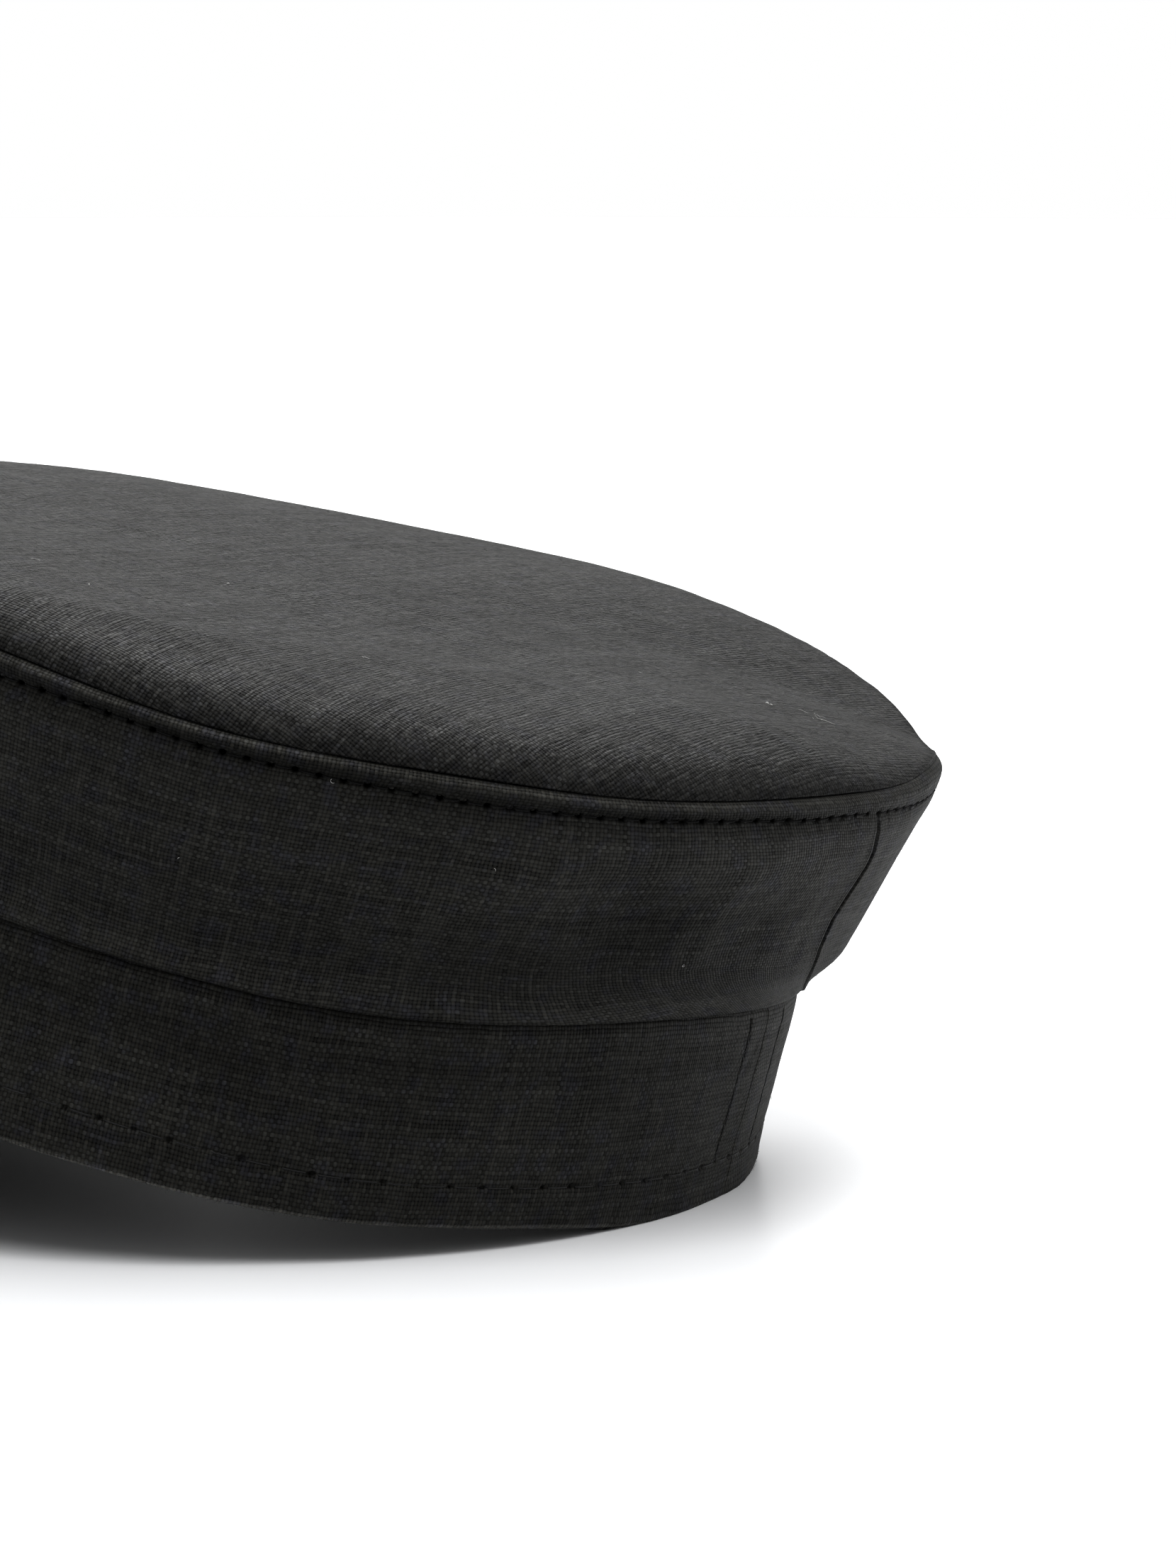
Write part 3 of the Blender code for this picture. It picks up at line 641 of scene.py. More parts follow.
def band_point(v, t, inner=False):
    a, b = ring("join", t), ring("hem", t)
    out = np.stack([np.sin(t), np.cos(t), np.zeros_like(t)], -1)
    h = v * BAND_HEIGHT                     # mm below the side
    e = BAND_HEIGHT - h                     # mm above the hem
    stand = BAND_BULGE * np.sin(math.pi * np.clip(v, 0, 1))
    # its back sinks in a little below the seam
    stand = stand - BAND_SINK * bump(wrap(t + math.radians(19)) / math.radians(32)) * np.sin(
        0.5 * math.pi * np.clip(v / 0.6, 0, 1)) * (1 - 0.85 * np.clip((v - 0.75) / 0.25, 0, 1) ** 2)
    if inner:
        w = np.minimum(WALL["band"], 0.5 + 0.6 * h)
        return a + (b - a) * v[..., None] + out * (stand - w)[..., None]
    stand = stand - 0.9 * np.exp(-h / 1.2)
    stand += 0.14 * ripple(t, h, 21, 12, 4, 26, 30.0) * np.clip(h / 5, 0, 1)
    stand += 0.045 * ripple(t, h, 22, 14, 30, 120, 8.0)
    # the turned-up hem is one layer thicker up to its topstitch
    y = (v - HEM_ROW(t)) * BAND_HEIGHT
    stand += 0.16 * step(y / 0.35)
    phase = (t - HEM_T0) / HEM_T
    near = phase - np.round(phase)
    wide = HEM_T * 90.0
    stand -= 0.08 * bump(y / 0.45)
    stand -= 0.03 * np.cos(TAU * near) * (bump((y - 1.9) / 1.5) + bump((y + 1.6) / 1.4))
    size, deep, place = HOLES[:, np.mod(np.round(phase).astype(int), STITCHES_HEM)]
    stand -= (0.62 + 0.30 * deep) * bump((near * wide / (0.54 + 0.14 * size)) ** 2
                                         + ((y - 0.15 * place) / (0.38 + 0.10 * size)) ** 2)
    # the hem's fold
    stand -= 0.9 * (1 - np.sqrt(np.clip(1 - (1 - np.clip(e / 1.1, 0, 1)) ** 2, 0, 1)))
    # the lapped back seam, with a row of stitches on each side of it
    x = wrap(t - BAND_SEAM) * 90.0
    fade = np.clip(e / 3.0, 0, 1)
    stand += 0.15 * step(-x / 0.15) * np.exp(np.minimum(x, 0) / 12.0) * fade - 0.10 * bump(x / 0.30) * fade
    for row in BACK_ROWS:
        xr = wrap(t - row) * 90.0
        stand -= 0.05 * bump(xr / 0.6) * step((24.8 - h) / 0.5)
        dv = (v[..., None] - BACK_HOLES) * BAND_HEIGHT
        dv = np.abs(dv).min(-1)
        stand -= 0.42 * bump(np.hypot(xr, dv) / 0.36)
        stand += 0.03 * bump((np.abs(xr) - 1.7) / 1.2) * bump((dv - 1.45) / 1.0) * step((24.8 - h) / 0.5)
    # a small pucker pulled across by the seam
    px, py = wrap(t - math.radians(4.6)) * 90.0, h - 8.6
    stand -= 0.35 * bump((px * 0.55 + py * 0.83) / 2.8) * bump((px * 0.83 - py * 0.55) / 0.8)
    return a + (b - a) * v[..., None] + out * stand[..., None]


def build_band():
    offs = np.array([-0.40, -0.24, -0.12, -0.06, 0.0, 0.06, 0.12, 0.24])
    t = (HEM_T0 + (np.arange(STITCHES_HEM)[:, None] + offs[None]) * HEM_T).ravel()
    extra = []
    for centre in (BAND_SEAM, *BACK_ROWS):
        extra += [centre + m / 90.0 for m in (-1.3, -0.75, -0.45, -0.22, 0.0, 0.22, 0.45, 0.75, 1.3)]
    t = np.sort(np.mod(np.concatenate([t, extra]), TAU))
    t = t[np.concatenate([[True], np.diff(t) * 90.0 > 0.08])]
    t = np.append(t, t[0] + TAU)
    hem = 0.785
    vs = [0.0, 0.008, 0.02, 0.035]
    for c in BACK_HOLES:
        vs += [c + m / BAND_HEIGHT for m in (-1.4, -0.75, -0.32, 0.0, 0.32, 0.75)]
    vs = [x for x in vs if not hem - 0.05 < x < hem + 0.05]
    vs += [0.845, 0.87, 0.895, 0.915, 0.935, 0.95, 0.965, 0.976, 0.985, 0.992, 0.997, 1.0]
    vs = np.unique(np.round(vs, 5))
    rows = []
    line = HEM_ROW(t)
    lift = lambda x: x + (line - hem) * np.clip(1 - abs(x - hem) / 0.2, 0, 1)
    for x in vs[vs < hem]:
        rows.append(lift(x))
    for m in (-1.3, -0.85, -0.5, -0.24, 0.0, 0.24, 0.5, 0.85, 1.3):
        rows.append(line + m / BAND_HEIGHT)
    for x in vs[vs > hem]:
        rows.append(lift(x))
    Vn = np.array(rows)
    T = np.broadcast_to(t, Vn.shape)
    P = band_point(Vn, T)
    P[0, :, 2] -= GAP / 2
    Vi = np.array([1.0, 0.985, 0.96, 0.9, 0.7, 0.45, 0.2, 0.06, 0.01])[:, None] * np.ones_like(t)
    Ti = np.broadcast_to(t, Vi.shape)
    Q = band_point(Vi, Ti, inner=True)
    # the fold's inner half
    out = np.stack([np.sin(t), np.cos(t), np.zeros_like(t)], -1)
    e = (1 - Vi) * BAND_HEIGHT
    Q += out * (0.9 * (1 - np.sqrt(np.clip(1 - (1 - np.clip(e / 1.1, 0, 1)) ** 2, 0, 1))))[..., None]
    A = np.concatenate([P, Q], 0)
    VV, TT = np.concatenate([Vn, Vi]), np.concatenate([T, Ti])
    W = rest(A)
    count = len(P)
    W[:count, :, 2] = press(W[:count, :, 2])
    W[count:, :, 2] = press(W[count:, :, 2], WALL["band"] * math.sin(math.radians(TILT)))
    U = (TT - BAND_SEAM) * 90.0
    V = VV * BAND_HEIGHT + 0.5 * np.sin(2 * TT)
    # painted light and shade, partly worn fibres: a painted highlight along the hem's fold, stronger past 20 degrees
    # round, and on the lapped edge; the band at negative angles, past the back seam, painted lighter as lit; painted
    # shade under the side's overhang near the band's top; fold patches painted lighter and darker; the whole band a
    # touch darker
    left = step((np.degrees(wrap(TT)) - 20.0) / 12.0)
    low = (1 - VV) * BAND_HEIGHT
    wear_and_painted_light = (0.5 + 1.8 * left) * bump((low - 0.25) / 0.42)
    wear_and_painted_light += 0.35 * bump((wrap(TT - BAND_SEAM) * 90.0 + 0.35) / 0.25)
    wear_and_painted_light += 0.12 * step(-(np.degrees(wrap(TT)) - 0.0) / 2.0)
    wear_and_painted_light += patches(BAND_PAINTED_SHADE, TT, VV) - 0.17 * bump((VV - 0.24) / 0.12) - 0.04
    wear_and_painted_light[count:] = 0
    ob = ring_mesh("band_cloth", W[:, :-1], U, V, wear_and_painted_light=wear_and_painted_light[:, :-1])
    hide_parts("band")
    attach(ob, "root")
    return ob


# ---- peak --------------------------------------------------------------------
def peak_point(s, v):
    t = math.pi + np.radians(PEAK_SPAN) * s
    root = ring("hem", t) - np.array([0, 0, GAP])
    radial = np.stack([np.sin(t), np.cos(t)], -1)
    ahead = radial * (1 - PEAK_FORWARD) + np.array([0.0, -1.0]) * PEAK_FORWARD
    ahead /= np.linalg.norm(ahead, axis=-1)[..., None]
    depth = np.maximum(PEAK_DEPTH * (1 - np.abs(s) ** PEAK_ROUND[0]) ** PEAK_ROUND[1], 2.0)
    slope = np.radians(PEAK_SLOPE + (PEAK_SLOPE_SIDE - PEAK_SLOPE) * s * s)
    run = depth * v
    flat, drop = run * np.cos(slope), run * np.sin(slope)
    arch = PEAK_CROWN * np.sin(math.pi * v) * (depth / PEAK_DEPTH)
    flat, drop = flat + arch * np.sin(slope), drop - arch * np.cos(slope)
    tuck = np.exp(-run / 1.5)
    flat, drop = flat - 1.0 * tuck, drop - (GAP + 0.1) * tuck
    return np.stack([root[..., 0] + ahead[..., 0] * flat, root[..., 1] + ahead[..., 1] * flat,
                     root[..., 2] - drop], -1), depth


def peak_normal(s, v):
    h = 1e-3
    ds = peak_point(np.clip(s + h, -1, 1), v)[0] - peak_point(np.clip(s - h, -1, 1), v)[0]
    dv = peak_point(s, v + h)[0] - peak_point(s, v - h)[0]
    n = np.cross(ds, dv)
    n /= np.linalg.norm(n, axis=-1)[..., None] + 1e-12
    n *= np.sign(n[..., 1:2] * -1 + 1e-9)                     # looks ahead and up
    dv /= np.linalg.norm(dv, axis=-1)[..., None] + 1e-12
    return n, dv


PEAK_STITCH = 6.5      # mm inside the peak's edge


def build_peak():
    s = np.sin(np.linspace(-1, 1, 321) * math.pi / 2)
    v0 = np.concatenate([np.linspace(0, 0.80, 30), np.linspace(0.82, 0.985, 22)])
    S, V = np.meshgrid(s, v0, indexing="xy")
    P, depth = peak_point(S, V)
    N, Dv = peak_normal(S, np.clip(V, 0.01, 0.99))
    edge = (1 - V) * depth
    stand = 0.10 * ripple(S * 1.2, V * 50, 31, 12, 3, 18, 24.0) + 0.04 * ripple(S * 1.2, V * 50, 32, 12, 30, 90, 8.0)
    stand -= 0.22 * bump((edge - PEAK_STITCH) / 0.8)
    stand -= 1.4 * (1 - np.sqrt(np.clip(1 - (1 - np.clip(edge / 1.5, 0, 1)) ** 2, 0, 1)))
    upper = P + N * stand[..., None]
    v1 = np.concatenate([np.linspace(0.985, 0.82, 10), np.linspace(0.75, 0, 14)])
    S1, V1 = np.meshgrid(s, v1, indexing="xy")
    P1, depth1 = peak_point(S1, V1)
    N1, _ = peak_normal(S1, np.clip(V1, 0.01, 0.99))
    edge1 = (1 - V1) * depth1
    thick = np.minimum(WALL["peak"], 0.8 + 0.9 * (depth1 * V1)) * np.sqrt(np.clip(1 - S1 ** 8 * 0.6, 0.1, 1))
    thick = thick - 1.4 * (1 - np.sqrt(np.clip(1 - (1 - np.clip(edge1 / 1.5, 0, 1)) ** 2, 0, 1)))
    lower = P1 - N1 * thick[..., None]
    tip, _ = peak_point(s[None], np.ones_like(s)[None])
    tn, _ = peak_normal(s[None], np.full_like(s, 0.99)[None])
    tip = tip - tn * 1.5
    A = np.concatenate([upper, tip, lower], 0)
    W = rest(A)
    W[..., 2] = press(W[..., 2])
    rows, cols = W.shape[:2]
    VV = np.concatenate([V, np.ones((1, cols)), V1], 0)
    DD = np.concatenate([depth, depth[:1], depth1], 0)
    U, Vm = A[..., 0], VV * DD
    idx = np.arange(rows * cols).reshape(rows, cols)
    a, b = idx[:, :-1], idx[:, 1:]
    c, d = np.roll(b, -1, 0), np.roll(a, -1, 0)
    quads = np.stack([a, b, c, d], -1).reshape(-1, 4)
    Un, Vn = np.roll(U, -1, 0), np.roll(Vm, -1, 0)
    uv = np.stack([np.stack([U[:, :-1], U[:, 1:], Un[:, 1:], Un[:, :-1]], -1),
                   np.stack([Vm[:, :-1], Vm[:, 1:], Vn[:, 1:], Vn[:, :-1]], -1)], -1).reshape(-1, 4, 2)
    verts = W.reshape(-1, 3)
    tris, tuv = [], []
    for j, order in ((0, 1), (cols - 1, -1)):
        centre = len(verts)
        verts = np.concatenate([verts, W[:, j].mean(0)[None]])
        r = idx[:, j]
        r2 = np.roll(r, -1)
        tri = np.stack([np.full(rows, centre), r, r2], -1)[:, ::order]
        tris.append(tri)
        tuv.append(np.zeros((rows, 3, 2)))
    low = (1 - VV) * DD
    # the peak's folded edge is painted lighter, like the hem's fold: partly wear, partly painted highlight
    ob = make_mesh("peak_cloth", verts, quads, uv, np.concatenate(tris), np.concatenate(tuv),
                   wear_and_painted_light=(0.35 * bump((low - 0.2) / 0.7)).ravel())
    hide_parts("peak")
    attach(ob, "root")
    return ob


# ---- stitches ----------------------------------------------------------------
def numeric_out(fn, a, b, outward):
    """Outward direction of a surface fn(a, b) at many places."""
    h = 2e-3
    p1, p0 = fn(a, b + h), fn(a, b - h)
    q1, q0 = fn(a + h * 20, b), fn(a - h * 20, b)
    n = np.cross(p1 - p0, q1 - q0)
    n /= np.linalg.norm(n, axis=-1)[..., None] + 1e-12
    sign = np.sign((n * outward).sum(-1))[..., None]
    return n * np.where(sign == 0, 1, sign)


def thread_run(centres, inset, k=9):
    """Parts of a stitch along itself: it dives into its holes at both ends."""
    w = np.linspace(0, 1, k)
    along = inset + (1 - 2 * inset) * w
    dip = 1 - np.clip(np.minimum(w, 1 - w) / 0.22, 0, 1)
    return along, dip ** 2


def crown_stitches():
    k = np.arange(STITCHES_CROWN)
    along, dip = thread_run(k, 0.10)
    rng = np.random.RandomState(5)
    sway = rng.uniform(-0.05, 0.05, (STITCHES_CROWN, 1)) * (along[None] - 0.5)
    t = HOLE_T0 + (k[:, None] + along[None]) * STITCH_T
    d = STITCH_DROP(t) + sway * 3
    away = np.abs(wrap(t - SIDE_SEAM_T0))
    p = side_point(d, t)
    a, al, out, rd, ln = side_frame(t)
    height = 0.03 - 0.34 * dip[None]
    # a thread spans its dip in the cloth: take the cloth's height at the middle
    mid = p - out * 0.0
    path = mid + out * height[..., None]
    keep = ~((away * 98.0).min(1) < 0.4)
    ups = rest(out) - rest(np.zeros_like(out))
    ob = tubes_mesh("crown_topstitch", rest(path)[keep], 0.15, flat=0.75, sides=6, ups=ups[keep])
    return ob


def hem_stitches():
    k = np.arange(STITCHES_HEM)
    along, dip = thread_run(k, 0.08)
    t = HEM_T0 + (k[:, None] + along[None]) * HEM_T
    v = HEM_ROW(t)
    p = band_point(v, t)
    out = np.stack([np.sin(t), np.cos(t), np.zeros_like(t)], -1)
    path = p + out * (0.04 - 0.34 * dip[None])[..., None]
    ups = rest(out) - rest(np.zeros_like(out))
    return tubes_mesh("hem_topstitch", rest(path), 0.13, flat=0.75, sides=6, ups=ups)


def back_stitches():
    paths, ups = [], []
    for row in BACK_ROWS:
        for a, b in zip(BACK_HOLES[:-1], BACK_HOLES[1:]):
            w, dip = thread_run(None, 0.10)
            v = a + (b - a) * w
            t = np.full_like(v, row)
            out = np.stack([np.sin(t), np.cos(t), np.zeros_like(t)], -1)
            p = band_point(v, t) + out * (0.03 - 0.34 * dip)[:, None]
            paths.append(rest(p))
            ups.append(rest(out) - rest(np.zeros_like(out)))
    return tubes_mesh("band_back_stitches", np.array(paths), 0.13, flat=0.75, sides=6, ups=np.array(ups))


def peak_stitches():
    s = np.linspace(-0.93, 0.93, 4000)
    _, depth = peak_point(s, np.ones_like(s))
    v = 1 - PEAK_STITCH / depth
    p, _ = peak_point(s, v)
    run = np.concatenate([[0], np.cumsum(np.linalg.norm(np.diff(p, axis=0), axis=-1))])
    count = int(run[-1] // 4.2)
    along, dip = thread_run(None, 0.10)
    want = (np.arange(count)[:, None] + along[None]) * (run[-1] / count)
    ss = np.interp(want, run, s)
    _, dd = peak_point(ss, np.ones_like(ss))
    vv = 1 - PEAK_STITCH / dd
    pp, _ = peak_point(ss, vv)
    n, _ = peak_normal(ss, vv)
    path = pp + n * (-0.10 - 0.40 * dip[None])[..., None]
    ups = rest(n) - rest(np.zeros_like(n))
    return tubes_mesh("peak_topstitch", rest(path), 0.20, flat=0.7, sides=6, ups=ups)


# ---- lint and loose fibres ------------------------------------------------------
def top_at(x, y):
    """The top's surface over places given in the hat's own frame."""
    x, y = np.asarray(x, float), np.asarray(y, float)
    t = np.arctan2(x / RINGS["seam"][0], (y - RINGS["seam"][2]) / RINGS["seam"][1])
    edge = ring("seam", t)
    rho = np.hypot(x, y - RINGS["seam"][2]) / np.hypot(edge[..., 0], edge[..., 1] - RINGS["seam"][2])
    p = top_point(np.minimum(rho, 1.0), t)
    p[..., 2] += top_streaks(p[..., 0], p[..., 1])
    return p


def lint():
    """A few pale specks, hairs and curls that sit on the cloth."""
    rng = np.random.RandomState(77)
    paths, radii = [], []

    def hair(x, y, length, angle, curl, radius):
        w = np.linspace(0, 1, 12)
        a = angle + curl * (w - 0.5) + 0.9 * np.sin(w * 9 + rng.uniform(0, 6)) * abs(curl) * 0.3
        px = x + np.concatenate([[0], np.cumsum(np.cos(a[:-1]))]) * length / 11
        py = y + np.concatenate([[0], np.cumsum(np.sin(a[:-1]))]) * length / 11
        p = top_at(px, py)
        p[:, 2] += 0.12 + 0.10 * np.sin(w * math.pi)
        paths.append(rest(p))
        radii.append(radius * (0.6 + 0.4 * np.sin(w * math.pi)))

    hair(-9.5, 84.3, 3.6, 1.9, 1.4, 0.055)
    for _ in range(7):
        hair(-9.5 + rng.normal(0, 1.6), 83.8 + rng.normal(0, 0.7), rng.uniform(0.8, 2.0), rng.uniform(0, 6.2),
             rng.uniform(-2, 2), 0.030)
    for x, y, length in ((-4.2, 77.5, 0.9), (-4.1, 77.7, 0.7), (33.3, -3.3, 0.45), (70.0, -12.0, 0.35)):
        hair(x, y, length, rng.uniform(0, 6.2), 3.0, 0.13)
    for x, y, length, curl in ((62.0, -24.0, 2.6, 5.0), (61.0, 31.0, 2.2, 6.0), (10.0, 60.0, 1.4, 4.0), (45.0, 70.0, 1.2, 3.0)):
        hair(x, y, length, rng.uniform(0, 6.2), curl, 0.028)
    for d, t, length, turn in ((29.7, 27.0, 1.3, 5.0), (22.4, 79.3, 0.6, 3.0), (3.4, 68.0, 1.6, 4.0), (14.0, 52.0, 0.7, 2.0)):
        w = np.linspace(0, 1, 12)
        a = rng.uniform(0, 6.2) + turn * (w - 0.5)
        dd = d + np.cumsum(np.sin(a)) * length / 12
        tt = np.radians(t) + np.cumsum(np.cos(a)) * length / 12 / 95.0
        out = side_frame(tt)[2]
        paths.append(rest(side_point(dd, tt) + out * 0.08))
        radii.append(0.045 * (0.5 + 0.5 * np.sin(w * math.pi)))
    return tubes_mesh("lint", np.array(paths), np.array(radii), sides=5)


def fuzz(name, place, count, seed, low, high, radius=0.022):
    """Short loose fibres. place gives their feet and the outward directions."""
    rng = np.random.RandomState(seed)
    foot, out = place(rng, count)
    tangent = rng.normal(size=foot.shape)
    tangent -= (tangent * out).sum(-1, keepdims=True) * out
    tangent /= np.linalg.norm(tangent, axis=-1, keepdims=True)
    length = rng.uniform(low, high, count)[:, None, None]
    w = np.linspace(0, 1, 4)[None, :, None]
    lean = rng.uniform(0.35, 1.0, count)[:, None, None]
    bend = rng.normal(size=(count, 1, 3)) * 0.25
    path = foot[:, None] + length * (tangent[:, None] * w + out[:, None] * (0.02 + lean * w * (1 - 0.55 * w)) + bend * w * w)
    path[..., 2] = np.maximum(path[..., 2], radius + 0.01)
    radii = radius * (1 - 0.6 * np.linspace(0, 1, 4))[None] * np.ones((count, 1))
    return tubes_mesh(name, path, radii, sides=3)


def turned(p, out):
    return rest(p), rest(out) - rest(np.zeros_like(out))


def hem_feet(rng, n):
    t = np.radians(rng.uniform(-180, 180, n))
    near = rng.uniform(0, 1, n) < 0.55
    t = np.where(near, np.radians(rng.uniform(0, 130, n)), t)
    v = 1 - np.abs(rng.normal(0, 0.012, n))
    out = np.stack([np.sin(t), np.cos(t), 0 * t - 0.25], -1)
    foot, out = turned(band_point(v, t), out / np.linalg.norm(out, axis=-1)[:, None])
    foot[:, 2] = np.maximum(press(foot[:, 2]), 0.05)
    return foot, out


def ridge_feet(rng, n):
    t = np.radians(rng.uniform(-180, 180, n))
    d = np.abs(rng.normal(0.45, 0.45, n))
    return turned(side_point(d, t), side_frame(t)[2])


def top_feet(rng, n):
    t = np.radians(rng.uniform(-180, 180, n))
    rho = np.sqrt(rng.uniform(0, 1, n))
    p = top_point(rho, t)
    p[:, 2] += top_streaks(p[:, 0], p[:, 1])
    out = np.stack([0.5 * rho ** 6 * np.sin(t), 0.5 * rho ** 6 * np.cos(t), 1 + 0 * t], -1)
    return turned(p, out / np.linalg.norm(out, axis=-1)[:, None])


def side_feet(rng, n):
    t = np.radians(rng.uniform(-180, 180, n))
    d = rng.uniform(3, 40, n)
    return turned(side_point(d, t), side_frame(t)[2])


def band_feet(rng, n):
    t = np.radians(rng.uniform(-180, 180, n))
    out = np.stack([np.sin(t), np.cos(t), 0 * t], -1)
    foot, out = turned(band_point(rng.uniform(0.03, 0.95, n), t), out)
    return foot, out


# ---- materials ---------------------------------------------------------------
# how light the weave's painted shade leaves a thread's crown and the gaps between threads, and how much lighter the
# cross threads are than the upright ones
WEAVE = {"power": 1.2, "crown": 1.45, "gap": 0.09, "warp": 0.93, "weft": 1.08}


class Net:
    """Short names for building a node tree."""

    def __init__(self, name):
        self.mat = bpy.data.materials.new(name)
        self.mat.use_nodes = True
        self.nt = self.mat.node_tree
        self.bsdf = self.nt.nodes["Principled BSDF"]

    def put(self, socket, value):
        if isinstance(value, bpy.types.NodeSocket):
            self.nt.links.new(value, socket)
        else:
            socket.default_value = value

    def m(self, op, a, b=None, c=None, clamp=False):
        n = self.nt.nodes.new("ShaderNodeMath")
        n.operation = op
        n.use_clamp = clamp
        for i, x in enumerate((a, b, c)):
            if x is not None:
                self.put(n.inputs[i], x)
        return n.outputs[0]

    def xyz(self, x, y, z=0.0):
        n = self.nt.nodes.new("ShaderNodeCombineXYZ")
        for i, v in enumerate((x, y, z)):
            self.put(n.inputs[i], v)
        return n.outputs[0]

    def noise(self, vec, scale, detail=2.0, rough=0.5):
        n = self.nt.nodes.new("ShaderNodeTexNoise")
        n.noise_dimensions = "2D"
        self.put(n.inputs["Vector"], vec)
        n.inputs["Scale"].default_value = scale
        n.inputs["Detail"].default_value = detail
        n.inputs["Roughness"].default_value = rough
        return n.outputs[0]

    def white(self, vec):
        n = self.nt.nodes.new("ShaderNodeTexWhiteNoise")
        n.noise_dimensions = "2D"
        self.put(n.inputs["Vector"], vec)
        return n.outputs["Value"]

    def ramp(self, fac, stops):
        n = self.nt.nodes.new("ShaderNodeValToRGB")
        self.put(n.inputs[0], fac)
        cr = n.color_ramp
        while len(cr.elements) < len(stops):
            cr.elements.new(0.5)
        for e, (pos, col) in zip(cr.elements, stops):
            e.position = pos
            e.color = (*col, 1.0)
        return n.outputs["Color"]

    def mix(self, fac, a, b, kind="MIX"):
        n = self.nt.nodes.new("ShaderNodeMix")
        n.data_type = "RGBA"
        n.blend_type = kind
        self.put(n.inputs[0], fac)
        for i, x in ((6, a), (7, b)):
            if isinstance(x, tuple):
                x = (*x, 1.0)
            self.put(n.inputs[i], x)
        return n.outputs[2]


